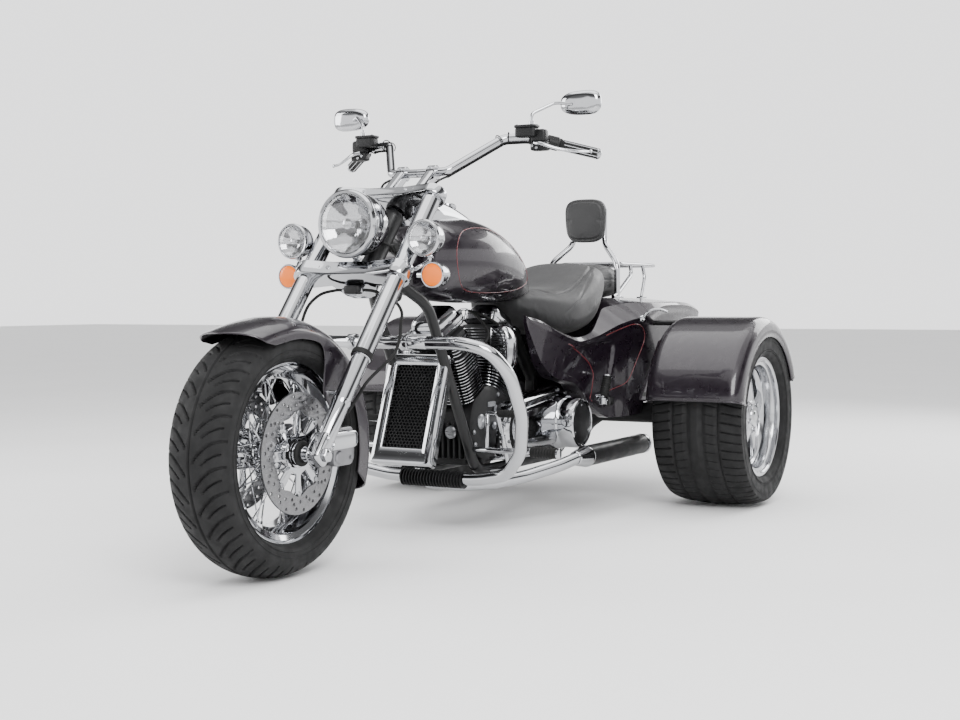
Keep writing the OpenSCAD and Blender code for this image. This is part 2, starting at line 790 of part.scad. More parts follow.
module exhaust() {
    color(chrome) {
        muffler(muffler_x);
        muffler(-muffler_x);
        place() tube(rounded_path(left_pipe, 24), pipe_r, 12);
        place() tube(rounded_path(right_pipe, 24), pipe_r, 12);
        place() tube(rounded_path(rear_pipe, 24), pipe_r - 1, 12);
    }
}

peg_rod_y = 884;

module foot_controls() {
    color(chrome) place() {
        pair() translate([0, peg_rod_y, 250]) across(rail_x + rail_r + 0.4, 300, 9);
        pair() translate([0, peg_rod_y + 4, 250]) across(299, 395, 17);
        tube([[150, 890, 362], [185, 888, 362], [185, 960, 196], [150, 985, rail_z + 4],
            [rail_x + rail_r + 0.9, 990, rail_z]], 7, 10);
        translate([0, 889, 362]) across(184, 262, 12);
        tube([[-140, peg_rod_y, 250], [-150, 850, 330], [-250, 850, 335]], 8, 10);
        pair() {
            translate([264, wheelbase - 317, 362]) cylinder(r = 16, h = 92);
            block([234.5, wheelbase - 328, 372], [250, wheelbase - 306, 392]);
        }
    }
}

// Tank, seat and body

tank_y = 676;
tank_tail = tank_y + tank_length;

function tank_ring(t, w, low, high) =
    soft_square(tank_y + t * tank_length, w * tank_half_w, low, high, 2.3, 32);

module tank_loft(grow) {
    g = grow / tank_half_w;
    loft([
        tank_ring(-g, 0.5 + g, 748 - grow, 912 + grow), tank_ring(0.02, 0.6 + g, 734 - grow, 926 + grow),
        tank_ring(0.1, 0.8 + g, 712 - grow, 948 + grow), tank_ring(0.33, 1 + g, 698 - grow, 958 + grow),
        tank_ring(0.515, 0.97 + g, 696 - grow, 938 + grow),
        tank_ring(0.688, 0.84 + g, 696 - grow, 886 + grow),
        tank_ring(0.807, 0.66 + g, 697 - grow, 838 + grow),
        tank_ring(0.889, 0.5 + g, 699 - grow, 792 + grow), tank_ring(1 + g, 0.24 + g, 702 - grow, 742 + grow)]);
}

module fuel_tank() {
    color(paint) place() difference() {
        tank_loft(0);
        translate([-42, 0, 0]) rotate([90, 0, 90]) linear_extrude(84) polygon([
            [tank_y - 60, 600], [tank_y - 60, 870], [1190, 806], [1300, 750], [1500, 640], [1500, 600]]);
        translate([-78, 0, 0]) rotate([90, 0, 90]) linear_extrude(156) polygon([
            [740, 600], [780, 738], [1280, 738], [1320, 600]]);
    }
}

module tank_console() {
    color(chrome) place() difference() {
        loft([
            soft_square(tank_y + 14, 38, 870, 996, 3, 24), soft_square(tank_y + 84, 52, 870, 1010, 3, 24),
            soft_square(tank_y + 174, 56, 880, 1000, 3, 24), soft_square(tank_y + 274, 50, 890, 976, 3, 24),
            soft_square(tank_y + 364, 30, 900, 955, 3, 24)]);
        tank_loft(0.6);
    }
}

function seat_ring(y, w, low, high) = soft_square(wheelbase + y, w, low, high, 3.2, 32);

module seat() {
    color(vinyl) place() difference() {
        loft([
            seat_ring(-600, 70, 690, 716), seat_ring(-585, 100, 664, 734), seat_ring(-520, 134, 632, 742),
            seat_ring(-430, 168, 598, 745), seat_ring(-330, 188, 586, 756), seat_ring(-240, 192, 590, 786),
            seat_ring(-160, 186, 618, 822), seat_ring(-90, 170, 676, 838), seat_ring(-40, 150, 716, 826),
            seat_ring(-24, 136, 722, 806)]);
        tank_loft(0.6);
        tube(backbone, 26, 12);
        block([-30, 1000, 500], [30, 1352, 700]);
    }
}

module pillion_seat() {
    low = body_top_z + 0.4;
    color(vinyl) place() loft([
        seat_ring(-23.6, 108, low + 8, 816), seat_ring(0, 120, low, 828), seat_ring(60, 122, low, 838),
        seat_ring(140, 120, low, 836), seat_ring(200, 108, low, 822), seat_ring(226, 90, low + 6, 800)]);
}

sissy_y = wheelbase + 100;

module sissy_bar() {
    top = 916 + backrest_h;
    color(chrome) place() {
        pair() tube(rounded_path([[135, sissy_y, body_top_z - 0.5], [135, sissy_y, 838], [62, sissy_y + 50, 912],
            [58, sissy_y + 58, top - 40]], 12), 8, 12);
        block([-62, sissy_y + 51, top - 60], [62, sissy_y + 57, top - 44]);
        pair() block([127, sissy_y - 40, body_top_z - 1], [146, sissy_y + 40, body_top_z + 5]);
    }
}

module backrest_pad() {
    z = 914;
    y = sissy_y + 20;
    color(vinyl) place() difference() {
        translate([0, y, 0]) rotate([90, 0, 0]) translate([0, 0, -22]) linear_extrude(44) translate([0, z + backrest_h / 2])
            polygon([for (a = [0:15:345]) [(88 - 5 * sin(a)) * power(cos(a), 3.6), backrest_h / 2 * power(sin(a), 3.6)]]);
    }
}

rack_z = 838;

module luggage_rack() {
    r = 7;
    color(chrome) at_rear() {
        tube(rounded_path([[118, 150, rack_z], [118, 560, rack_z], [-118, 560, rack_z], [-118, 150, rack_z]], 40), r, 12);
        tube([[-118, 165, rack_z], [118, 165, rack_z]], r - 0.5, 12);
        pair() tube(rounded_path([[118, 215, rack_z], [126, 190, 770], [126, 190, body_top_z - 0.6]], 16), r, 12);
        pair() tube(rounded_path([[118, 480, rack_z], [118, 430, 770], [118, 430, body_top_z - 6.5]], 16), r, 12);
        block([-112, 330, rack_z - 3], [112, 470, rack_z + 7.5]);
    }
}

function body_ring(y, w, low, high) = soft_square(wheelbase + y, w, low, high, 4, 36);
door_low = 400;
door_gap = 5;
hinge_y = body_rear + 10;
hinge_z = door_low - 8;
hinge_pin_r = 4;

module rear_body() {
    w = body_half_w;
    in_w = door_w / 2;
    color(paint) place() difference() {
        union() {
            pair() for (x = [108, 152]) block([x, body_rear - 0.5, hinge_z - 10], [x + 10, hinge_y + 8, hinge_z + 10]);
            loft([
                body_ring(-675, 158, 628, 662), body_ring(-640, 176, 560, 656), body_ring(-580, 196, 470, 628),
                body_ring(-480, 212, 440, 580), body_ring(-380, 226, 412, 570), body_ring(-315, 238, 345, 572),
                body_ring(-260, 250, 306, 578), body_ring(-170, 286, 300, 604), body_ring(-90, 318, 304, 660),
                body_ring(0, w, 310, body_top_z),
                body_ring(200, w, 330, body_top_z), body_ring(400, w - 12, 346, body_top_z - 4),
                body_ring(tail_length - 40, w - 34, 356, body_top_z - 12),
                body_ring(tail_length, w - 48, 364, body_top_z - 24)]);
        }
        block([-146, 600, 200], [146, wheelbase - 80, 800]);
        block([-276, wheelbase - 260, 200], [276, wheelbase + 190, cavity_top]);
        translate([0, wheelbase, rear_r]) across(-500, 500, 72);
        block([-in_w + body_wall, wheelbase + 204, door_low + body_wall], [in_w - body_wall, body_rear + 10, door_low + door_h - body_wall]);
        block([-in_w, body_rear - 30, door_low], [in_w, body_rear + 40, door_low + door_h]);
        translate([0, hinge_y, hinge_z]) across(-180, 180, hinge_pin_r + fit);
    }
}

module trunk_door() {
    color(paint) place() {
        block([-door_w / 2 + door_gap, body_rear - 24, door_low + door_gap],
            [door_w / 2 - door_gap, body_rear + 2, door_low + door_h - door_gap]);
        pair() {
            translate([0, hinge_y, hinge_z]) across(107, 163, hinge_pin_r);
            translate([0, hinge_y, hinge_z]) across(120, 150, 8);
            block([120, body_rear + 1, hinge_z], [150, hinge_y + 6, door_low + 24]);
        }
    }
}

module plate_bracket() {
    y = body_rear + 2;
    z = door_low + door_h / 2;
    color(black) place() difference() {
        block([-102, y, z - 72], [102, y + 8, z + 72]);
        for (x = [-89, 89], dz = [-60.5, 60.5]) translate([x, y - 1, z + dz]) rotate([-90, 0, 0]) cylinder(r = 3.5, h = 20, $fn = 24);
    }
}

front_fender_angle = 12;
rear_fender_angle = 24;
fender_round = 38;

function fender_edge(r, x, side, t) =
    [for (a = [0:15:90]) [r - fender_round + (fender_round - t) * (side > 0 ? cos(a) : sin(a)),
        x - side * (fender_round - (fender_round - t) * (side > 0 ? sin(a) : cos(a)))]];

module rear_fenders() {
    r = fender_r;
    color(paint) pair() at_rear() translate([0, 0, rear_r])
        rotate([0, 90, 0]) rotate([0, 0, 90 + rear_fender_angle])
            rotate_extrude(angle = 180 - front_fender_angle - rear_fender_angle, $fn = 96) polygon(concat(
                [[r - 40, fender_in_x - fender_t]],
                fender_edge(r, fender_in_x - fender_t, -1, 0), fender_edge(r, fender_out_x, 1, 0),
                [[r - 44, fender_out_x], [r - 44, fender_out_x - fender_t]],
                [for (i = [6:-1:0]) fender_edge(r, fender_out_x, 1, fender_t)[i]],
                [for (i = [6:-1:0]) fender_edge(r, fender_in_x - fender_t, -1, fender_t)[i]],
                [[r - 40, fender_in_x]]));
}

module rear_lights() {
    color(red) place() pair()
        translate([body_half_w - 88, body_rear, 560]) rotate([-90, 0, 0]) cylinder(r = 28, h = tail_lamp_proud);
}

front_tyre();
front_rim();
front_spokes();
front_hub();
front_brake_discs();
rear_tyre_left();
rear_tyre_right();
rear_wheel_left();
rear_wheel_right();
front_axle();
fork_legs();
lower_triple_clamp();
upper_triple_clamp();
front_fender();
brake_calipers();
brake_hoses();
headlight();
spotlights();
front_turn_signals();
handlebar();
hand_grips();
hand_controls();
control_cables();
mirrors();
frame();
rear_subframe();
rear_axle();
crankcase();
cylinders();
rocker_boxes();
primary_cover();
timing_cover();
air_cleaner();
horn();
radiator();
radiator_shroud();
voltage_regulator();
engine_guard();
exhaust();
foot_controls();
fuel_tank();
tank_console();
seat();
pillion_seat();
sissy_bar();
backrest_pad();
luggage_rack();
rear_body();
rear_fenders();
rear_lights();
trunk_door();
plate_bracket();
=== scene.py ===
import json
import math

import bmesh
import bpy
import numpy as np
from mathutils import Matrix, Vector


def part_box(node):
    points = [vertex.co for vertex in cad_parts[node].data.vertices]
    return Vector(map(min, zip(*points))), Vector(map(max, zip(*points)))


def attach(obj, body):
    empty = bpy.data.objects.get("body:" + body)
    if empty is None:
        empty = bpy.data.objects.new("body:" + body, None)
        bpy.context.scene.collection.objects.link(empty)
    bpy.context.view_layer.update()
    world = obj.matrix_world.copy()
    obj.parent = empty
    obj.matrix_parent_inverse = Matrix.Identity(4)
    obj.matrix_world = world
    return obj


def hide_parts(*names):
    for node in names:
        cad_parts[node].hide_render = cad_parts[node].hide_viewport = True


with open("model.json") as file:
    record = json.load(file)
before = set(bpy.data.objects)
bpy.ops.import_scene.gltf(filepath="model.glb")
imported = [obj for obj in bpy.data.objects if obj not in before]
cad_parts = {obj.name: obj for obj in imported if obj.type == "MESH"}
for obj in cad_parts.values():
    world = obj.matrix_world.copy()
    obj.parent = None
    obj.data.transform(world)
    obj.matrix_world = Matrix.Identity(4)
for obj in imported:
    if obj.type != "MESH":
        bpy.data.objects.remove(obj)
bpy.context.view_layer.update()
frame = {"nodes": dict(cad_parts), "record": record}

# Places are in millimetres from the ground under the front axle: x to the rider's left, y back, z up
axleLow, axleHigh = (np.array(p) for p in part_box("front_axle"))
start = np.array([0.0, (axleLow[1] + axleHigh[1]) / 2, 0.0])
frontRadius = (axleLow[2] + axleHigh[2]) * 500


def place(points):
    return np.asarray(points, float) / 1000 + start


def nodeBox(name):
    # lowest and highest corner of a frame node, in these millimetres
    low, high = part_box(name)
    return (np.array(low) - start) * 1000, (np.array(high) - start) * 1000


rake = math.radians(40)
forkUp = np.array([0, math.sin(rake), math.cos(rake)])
forkBack = np.array([0, math.cos(rake), -math.sin(rake)])


def forkPoint(x, back, up):
    return np.array([x, 0, 0]) + np.array([0, 0, frontRadius]) + back * forkBack + up * forkUp


# Shapes: arrays of points and of quads, with no loop over points

def gridQuads(rows, columns, closeRows, closeColumns):
    # quads between neighbours of a rows x columns grid that is numbered row by row
    r = np.arange(rows if closeRows else rows - 1)
    c = np.arange(columns if closeColumns else columns - 1)
    r, c = np.meshgrid(r, c, indexing="ij")
    nextR, nextC = (r + 1) % rows, (c + 1) % columns
    corners = [r * columns + c, nextR * columns + c, nextR * columns + nextC, r * columns + nextC]
    return np.stack(corners, -1).reshape(-1, 4)


def sheet(points, closeRows=False, closeColumns=False):
    return points.reshape(-1, 3), gridQuads(*points.shape[:2], closeRows, closeColumns)


def loft(rings, capped=True):
    # closed rings joined one after another; a cap is one more ring drawn in to the ring's middle
    rings = np.asarray(rings, float)
    if capped:
        first = np.repeat(rings[:1].mean(1, keepdims=True), rings.shape[1], 1)
        last = np.repeat(rings[-1:].mean(1, keepdims=True), rings.shape[1], 1)
        rings = np.concatenate([first, rings, last])
    return sheet(rings, False, True)


def join(*shapes):
    counts = np.cumsum([0] + [len(s[0]) for s in shapes])
    return np.concatenate([s[0] for s in shapes]), np.concatenate([s[1] + n for s,
        n in zip(shapes, counts)])


def flip(shape):
    return shape[0] * [-1, 1, 1], shape[1][:, ::-1]


def both(shape):
    return join(shape, flip(shape))


def unit(v):
    v = np.asarray(v, float)
    return v / np.linalg.norm(v, axis=-1, keepdims=True)


def basis(direction):
    # two directions square to this one and to each other
    d = unit(direction)
    a = unit(np.cross(d, [0, 0, 1] if abs(d[2]) < 0.9 else [1, 0, 0]))
    return a, np.cross(d, a)


def spline(points, steps=8):
    # Catmull-Rom curve: each stretch is a cubic whose slopes come from the points on either side
    p = np.asarray(points, float)
    p = np.concatenate([[2 * p[0] - p[1]], p, [2 * p[-1] - p[-2]]])
    t = np.linspace(0, 1, steps, endpoint=False)[None, :, None]
    a, b, c, d = (p[i:len(p) - 3 + i, None] for i in range(4))
    out = 0.5 * (2 * b + (c - a) * t + (2 * a - 5 * b + 4 * c - d) * t ** 2 + (3 * b - a - 3 * c + d)
                 * t ** 3)
    return np.concatenate([out.reshape(-1, p.shape[1]), p[-2:-1]])


def bends(points, reach, steps=8):
    # straight runs whose corners are quadratic curves that begin this far from the corner
    p = np.asarray(points, float)
    t = np.linspace(0, 1, steps)[:, None]
    out = [p[:1]]
    for before, corner, after in zip(p[:-2], p[1:-1], p[2:]):
        a, b = corner + reach * unit(before - corner), corner + reach * unit(after - corner)
        out.append((1 - t) ** 2 * a + 2 * t * (1 - t) * corner + t * t * b)
    return np.concatenate(out + [p[-1:]])


def sweep(path, radius, sides=20, capped=True, squash=1.0, side=None):
    # a circle, or an ellipse when squash is not 1, carried along a path and kept square to it
    path = np.asarray(path, float)
    ahead = unit(np.gradient(path, axis=0))
    across = np.array(side, float) if side is not None else basis(ahead[0])[0]
    held = []
    for t in ahead:
        across = unit(across - (across @ t) * t)
        held.append(across)
    held = np.array(held)
    other = np.cross(ahead, held)
    a = np.linspace(0, 2 * np.pi, sides, endpoint=False)[None, :, None]
    r = np.broadcast_to(np.asarray(radius, float), len(path))[:, None, None]
    rings = path[:, None] + r * (np.cos(a) * held[:, None] + squash * np.sin(a) * other[:, None])
    return loft(rings, capped)


def turned(profile, centre, axis, count=64, closed=False):
    # [radius, distance along the axis] points turned round the axis
    profile = np.asarray(profile, float)
    u, v = basis(axis)
    a = np.linspace(0, 2 * np.pi, count, endpoint=False)[:, None, None]
    ring = np.cos(a) * u + np.sin(a) * v
    points = np.asarray(centre) + profile[None, :, :1] * ring + profile[None, :, 1:] * unit(axis)
    return sheet(points, True, closed)


def rod(a, b, radius, edge=0.0, count=24):
    # a straight round bar with a small chamfer at each end
    a, b = np.asarray(a, float), np.asarray(b, float)
    long = np.linalg.norm(b - a)
    e = edge or radius * 0.12
    profile = [[0, 0], [radius - e, 0], [radius, e], [radius, long - e], [radius - e, long], [0, long]]
    return turned(profile, a, b - a, count)


def boltHead(at, axis, size=6.0, tall=4.5):
    # six-sided head on a round washer, pointing along the axis
    at = np.asarray(at, float)
    head = turned([[0, tall], [size * 0.86, tall], [size, tall * 0.8], [size, 1.2], [size * 0.9, 1.0]], at,
                  axis, 6)
    washer = turned([[size, 1.4], [size * 1.35, 1.2], [size * 1.4, 0], [0, -0.5]], at, axis, 20)
    return join(head, washer)


def ringOf(centre, axis, big, small, count=64, sides=12):
    # a torus: a small circle turned round the axis
    a = np.linspace(0, 2 * np.pi, sides, endpoint=False)
    return turned(np.stack([big + small * np.cos(a), small * np.sin(a)], 1), centre, axis, count, True)


def softRing(y, halfWidth, low, high, power, count=64, x=0.0):
    # superellipse across the vehicle: |x/a|^p + |z/b|^p = 1
    a = np.linspace(0, 2 * np.pi, count, endpoint=False)
    c, s = np.cos(a), np.sin(a)
    u = np.sign(c) * np.abs(c) ** (2 / power)
    w = np.sign(s) * np.abs(s) ** (2 / power)
    return np.stack([x + halfWidth * u, np.full(count, float(y)), (low + high) / 2 + (high - low) / 2 * w],
                    1)


def softBlock(low, high, power=6, count=28, rows=14):
    # a box with rounded edges: superellipse rings whose size follows a superellipse along y
    low, high = np.asarray(low, float), np.asarray(high, float)
    mid, half = (low + high) / 2, (high - low) / 2
    a = np.linspace(-np.pi / 2, np.pi / 2, rows)
    grow = np.abs(np.cos(a)) ** (2 / power)
    y = mid[1] + half[1] * np.sign(np.sin(a)) * np.abs(np.sin(a)) ** (2 / power)
    ring = softRing(0, half[0], -half[2], half[2], power, count)
    rings = ring[None] * grow[:, None, None] + np.array([mid[0], 0, mid[2]])
    rings[:, :, 1] = y[:, None]
    return loft(rings, False)


def circle(radius, count=32, at=(0, 0)):
    a = np.linspace(0, 2 * np.pi, count, endpoint=False)
    return np.stack([at[0] + radius * np.cos(a), at[1] + radius * np.sin(a)], 1)


def plate(loops, thick, edge, corner, along, upward):
    # flat sheet with holes: outlines in (along, upward) from a corner, given a thickness and a bevelled edge
    data = bpy.data.curves.new("outline", "CURVE")
    data.dimensions, data.fill_mode = "2D", "BOTH"
    for loop in loops:
        s = data.splines.new("POLY")
        s.points.add(len(loop) - 1)
        s.points.foreach_set("co", np.c_[loop, np.zeros(len(loop)), np.ones(len(loop))].ravel())
        s.use_cyclic_u = True
    data.extrude, data.bevel_depth, data.offset, data.bevel_resolution = thick / 2 - edge, edge, -edge, 1
    obj = bpy.data.objects.new("outline", data)
    bpy.context.scene.collection.objects.link(obj)
    mesh = bpy.data.meshes.new_from_object(obj.evaluated_get(bpy.context.evaluated_depsgraph_get()))
    bpy.data.objects.remove(obj)
    co = np.zeros(len(mesh.vertices) * 3)
    mesh.vertices.foreach_get("co", co)
    co = co.reshape(-1, 3)
    along, upward = unit(along), unit(upward)
    out = np.asarray(corner) + co[:, :1] * along + co[:, 1:2] * upward + co[:, 2:] * np.cross(along, upward)
    mesh.vertices.foreach_set("co", out.ravel())
    return mesh


def piece(name, body, shapes, material, sharp=35, bevel=0.0, subdiv=0, wall=0.0, replaces=(),
          places=True):
    # one object from shapes and plates: doubles merged, faces turned outwards,
    # shaded smooth up to the sharp angle
    bm = bmesh.new()
    for shape in shapes if isinstance(shapes, list) else [shapes]:
        mesh = shape
        if not isinstance(shape, bpy.types.Mesh):
            mesh = bpy.data.meshes.new("part")
            mesh.from_pydata(shape[0].tolist(), [], shape[1].tolist())
        bm.from_mesh(mesh)
    bmesh.ops.remove_doubles(bm, verts=bm.verts, dist=0.002)
    bmesh.ops.recalc_face_normals(bm, faces=bm.faces)
    mesh = bpy.data.meshes.new(name)
    bm.to_mesh(mesh)
    bm.free()
    if places:
        co = np.zeros(len(mesh.vertices) * 3)
        mesh.vertices.foreach_get("co", co)
        mesh.vertices.foreach_set("co", place(co.reshape(-1, 3)).ravel())
    mesh.shade_smooth()
    if sharp < 180:
        mesh.set_sharp_from_angle(angle=math.radians(sharp))
    mesh.materials.append(material)
    obj = bpy.data.objects.new(name, mesh)
    bpy.context.scene.collection.objects.link(obj)
    if wall:
        m = obj.modifiers.new("wall", "SOLIDIFY")
        m.thickness, m.offset = wall / 1000, -1
    if bevel:
        m = obj.modifiers.new("edges", "BEVEL")
        m.width, m.segments, m.limit_method, m.angle_limit = bevel / 1000, 3, "ANGLE", math.radians(35)
        m.harden_normals = True
    if subdiv:
        m = obj.modifiers.new("smooth", "SUBSURF")
        m.levels = m.render_levels = subdiv
    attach(obj, body)
    if replaces:
        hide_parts(*replaces)
    return obj


# Materials: one for each finish, worked out on Object coordinates

class Finish:
    def __init__(self, name, color, rough, metal=0.0, **fixed):
        self.material = bpy.data.materials.new(name)
        self.material.use_nodes = True
        self.tree = self.material.node_tree
        self.shader = self.tree.nodes["Principled BSDF"]
        self.shader.inputs["Base Color"].default_value = (*color, 1)
        self.shader.inputs["Roughness"].default_value = rough
        self.shader.inputs["Metallic"].default_value = metal
        for key, value in fixed.items():
            self.shader.inputs[key.replace("_", " ")].default_value = value
        self.where = self.tree.nodes.new("ShaderNodeTexCoord").outputs["Object"]
        self.normal = None
        self.material.diffuse_color = (*color, 1)

    def add(self, kind, **settings):
        node = self.tree.nodes.new(kind)
        for key, value in settings.items():
            if key in node.inputs:
                node.inputs[key].default_value = value
            else:
                setattr(node, key, value)
        return node

    def link(self, a, b):
        self.tree.links.new(a, b)

    def stretched(self, scale):
        node = self.add("ShaderNodeMapping")
        node.inputs["Scale"].default_value = scale
        self.link(self.where, node.inputs["Vector"])
        return node.outputs["Vector"]

    def noise(self, scale, detail=4.0, stretch=None, rough=0.5):
        node = self.add("ShaderNodeTexNoise", Scale=scale, Detail=detail, Roughness=rough)
        self.link(self.stretched(stretch) if stretch else self.where, node.inputs["Vector"])
        return node.outputs["Fac"]

    def cells(self, scale, feature="F1", output="Distance", stretch=None):
        node = self.add("ShaderNodeTexVoronoi", feature=feature)
        node.inputs["Scale"].default_value = scale
        self.link(self.stretched(stretch) if stretch else self.where, node.inputs["Vector"])
        return node.outputs[output]

    def tones(self, source, stops):
        ramp = self.add("ShaderNodeValToRGB")
        for i, (at, color) in enumerate(stops):
            e = ramp.color_ramp.elements[i] if i < 2 else ramp.color_ramp.elements.new(at)
            e.position, e.color = at, (*color, 1)
        self.link(source, ramp.inputs["Fac"])
        self.link(ramp.outputs["Color"], self.shader.inputs["Base Color"])
        return self

    def roughness(self, source, low, high, fromLow=0.35, fromHigh=0.65):
        node = self.add("ShaderNodeMapRange")
        for key, value in zip(["From Min", "From Max", "To Min", "To Max"], [fromLow, fromHigh, low, high]):
            node.inputs[key].default_value = value
        self.link(source, node.inputs["Value"])
        self.link(node.outputs["Result"], self.shader.inputs["Roughness"])
        return self

    def bump(self, source, height, strength=0.5):
        node = self.add("ShaderNodeBump", Strength=strength, Distance=height)
        self.link(source, node.inputs["Height"])
        if self.normal:
            self.link(self.normal, node.inputs["Normal"])
        self.normal = node.outputs["Normal"]
        self.link(self.normal, self.shader.inputs["Normal"])
        return self


def around(color, spread):
    # three stops round a colour for slow variation
    c = np.array(color)
    return [(0.3, tuple(c * (1 - spread))), (0.55, tuple(c)), (0.8, tuple(np.minimum(c * (1 + spread), 1)))]


def metalFinish(name, color, low, high, brushed=None):
    # metal whose roughness drifts in wide clouds and in fine wipe marks
    f = Finish(name, color, low, 1.0)
    f.tones(f.noise(9, 3), around(color, 0.05))
    f.roughness(f.noise(22, 6, stretch=brushed), low, high)
    return f.bump(f.noise(340, 3, stretch=brushed), 0.00012, 0.12).material


def paintFinish():
    # dark plum paint with fine flake under a clear coat
    f = Finish("plumPaint", (0.009, 0.006, 0.010), 0.34, 0.4, Coat_Weight=0.7, Coat_Roughness=0.03,
               Coat_IOR=1.45)
    flake = f.cells(1500, "F1", "Color")
    base = f.add("ShaderNodeValToRGB")
    for e, at, color in zip(base.color_ramp.elements, [0.3, 0.75],
                            [(0.0070, 0.0042, 0.0078), (0.0120, 0.0070, 0.0126)]):
        e.position, e.color = at, (*color, 1)
    f.link(flake, base.inputs["Fac"])
    f.link(base.outputs["Color"], f.shader.inputs["Base Color"])
    f.roughness(f.noise(40, 4), 0.26, 0.36)
    return f.bump(f.noise(14, 2), 0.0006, 0.02).material


def blackFinish(name, color, low, high, grain=0.0003, scale=420.0, coat=0.0):
    # black enamel or casting: fine orange peel, dust in wide patches
    f = Finish(name, color, low, 0.0, Coat_Weight=coat, Coat_Roughness=0.15, Specular_IOR_Level=0.3)
    f.tones(f.noise(6, 5), around(color, 0.25))
    f.roughness(f.noise(16, 5), low, high)
    return f.bump(f.noise(scale, 3), grain, 0.3).material


def rubberFinish(name, color, scale=260.0):
    # rubber with faint dust in patches and a fine pebbled skin
    f = Finish(name, color, 0.7, 0.0, Specular_IOR_Level=0.25)
    f.tones(f.noise(11, 6), around(color, 0.3))
    f.roughness(f.noise(30, 5), 0.58, 0.82)
    return f.bump(f.noise(scale, 4), 0.0003, 0.35).bump(f.noise(20, 3), 0.0004, 0.15).material


def vinylFinish():
    # charcoal vinyl: cell-shaped leather grain, softer creases, worn sheen in clouds
    f = Finish("seatVinyl", (0.0135, 0.0135, 0.0142), 0.5, 0.0, Specular_IOR_Level=0.45, Sheen_Weight=0.12)
    f.tones(f.noise(7, 5), around((0.0135, 0.0135, 0.0142), 0.22))
    f.roughness(f.noise(12, 5), 0.42, 0.6)
    f.bump(f.cells(520, "SMOOTH_F1"), 0.0005, 0.4).bump(f.noise(1400, 3), 0.0002, 0.2)
    return f.bump(f.noise(26, 3), 0.0012, 0.2).material


def lensFinish(name, color, rough=0.05, transmission=1.0):
    # moulded lens: clear or tinted, with faint flow marks
    f = Finish(name, color, rough, 0.0, Transmission_Weight=transmission, IOR=1.49, Coat_Weight=0.15)
    f.roughness(f.noise(30, 4), rough, rough * 2.2)
    return f.bump(f.noise(60, 2), 0.0003, 0.05).material


chromeLook = metalFinish("chromePlate", (0.46, 0.465, 0.48), 0.03, 0.10)
rotorLook = metalFinish("rotorSteel", (0.20, 0.20, 0.205), 0.24, 0.42, brushed=(1, 7, 7))
steelLook = metalFinish("brushedSteel", (0.30, 0.305, 0.315), 0.26, 0.40, brushed=(1, 9, 9))
alloyLook = metalFinish("polishedAlloy", (0.46, 0.465, 0.48), 0.09, 0.20)
castLook = metalFinish("castAlloy", (0.24, 0.24, 0.25), 0.32, 0.5)
paintLook = paintFinish()
satinBlack = blackFinish("satinBlack", (0.005, 0.005, 0.0055), 0.34, 0.5, coat=0.1)
engineBlack = blackFinish("engineBlack", (0.0055, 0.0055, 0.006), 0.42, 0.6, grain=0.0006, scale=300.0)
plasticBlack = blackFinish("mouldedBlack", (0.006, 0.006, 0.0065), 0.38, 0.55, grain=0.0004)
tyreLook = rubberFinish("tyreRubber", (0.0085, 0.0085, 0.0088))
rubberLook = rubberFinish("gripRubber", (0.006, 0.006, 0.006), 500.0)
vinylLook = vinylFinish()
amberLook = lensFinish("amberLens", (1.0, 0.20, 0.0), 0.12, 0.15)
redLook = lensFinish("redLens", (0.40, 0.004, 0.006), 0.12, 0.3)
clearLook = lensFinish("clearLens", (1.0, 1.0, 1.0), 0.01)
stripeLook = blackFinish("redPinstripe", (0.13, 0.006, 0.010), 0.25, 0.35, grain=0.00005, coat=0.8)

looks = {"tyre": tyreLook, "rubber": rubberLook, "paint": paintLook, "vinyl": vinylLook, "alloy": alloyLook,
         "steel": steelLook, "black_metal": satinBlack, "amber_lens": amberLook, "red_lens": redLook,
         "chrome": chromeLook}
slotOf = {s["node"]: s["material_slot"] for s in frame["record"]["subparts"]}
for nodeName, node in frame["nodes"].items():
    node.data.materials.clear()
    node.data.materials.append(looks[slotOf[nodeName]])
print("finishes made")

# Camera, floor and light

cameraAt = {"from": (2245.9, -2982.1, 704.6), "yaw": 0.5012, "pitch": -0.0411, "roll": -0.0032,
            "lens": 54.46}


def makeCamera():
    yaw, pitch, roll = cameraAt["yaw"], cameraAt["pitch"], cameraAt["roll"]
    ahead = np.array([-math.sin(yaw) * math.cos(pitch), math.cos(yaw) * math.cos(pitch), math.sin(pitch)])
    right = np.array([math.cos(yaw), math.sin(yaw), 0])
    up = np.cross(right, ahead)
    right, up = (right * math.cos(roll) + up * math.sin(roll), up * math.cos(roll) - right * math.sin(roll))
    data = bpy.data.cameras.new("camera")
    data.lens, data.sensor_width = cameraAt["lens"], 36
    cam = bpy.data.objects.new("camera", data)
    m = np.eye(4)
    m[:3, 0], m[:3, 1], m[:3, 2], m[:3, 3] = right, up, -ahead, place(cameraAt["from"])
    cam.matrix_world = Matrix(m.tolist())
    bpy.context.scene.collection.objects.link(cam)
    bpy.context.scene.camera = cam


def makeFloor():
    f = Finish("paleFloor", (0.9, 0.9, 0.9), 0.7)
    f.tones(f.noise(1.2, 6), around((0.9, 0.9, 0.9), 0.02))
    f.bump(f.noise(90, 4), 0.0006, 0.15)
    mesh = bpy.data.meshes.new("floor")
    mesh.from_pydata([(-30, -30, 0), (30, -30, 0), (30, 30, 0), (-30, 30, 0)], [], [(0, 1, 2, 3)])
    mesh.materials.append(f.material)
    floor = bpy.data.objects.new("floor", mesh)
    bpy.context.scene.collection.objects.link(floor)


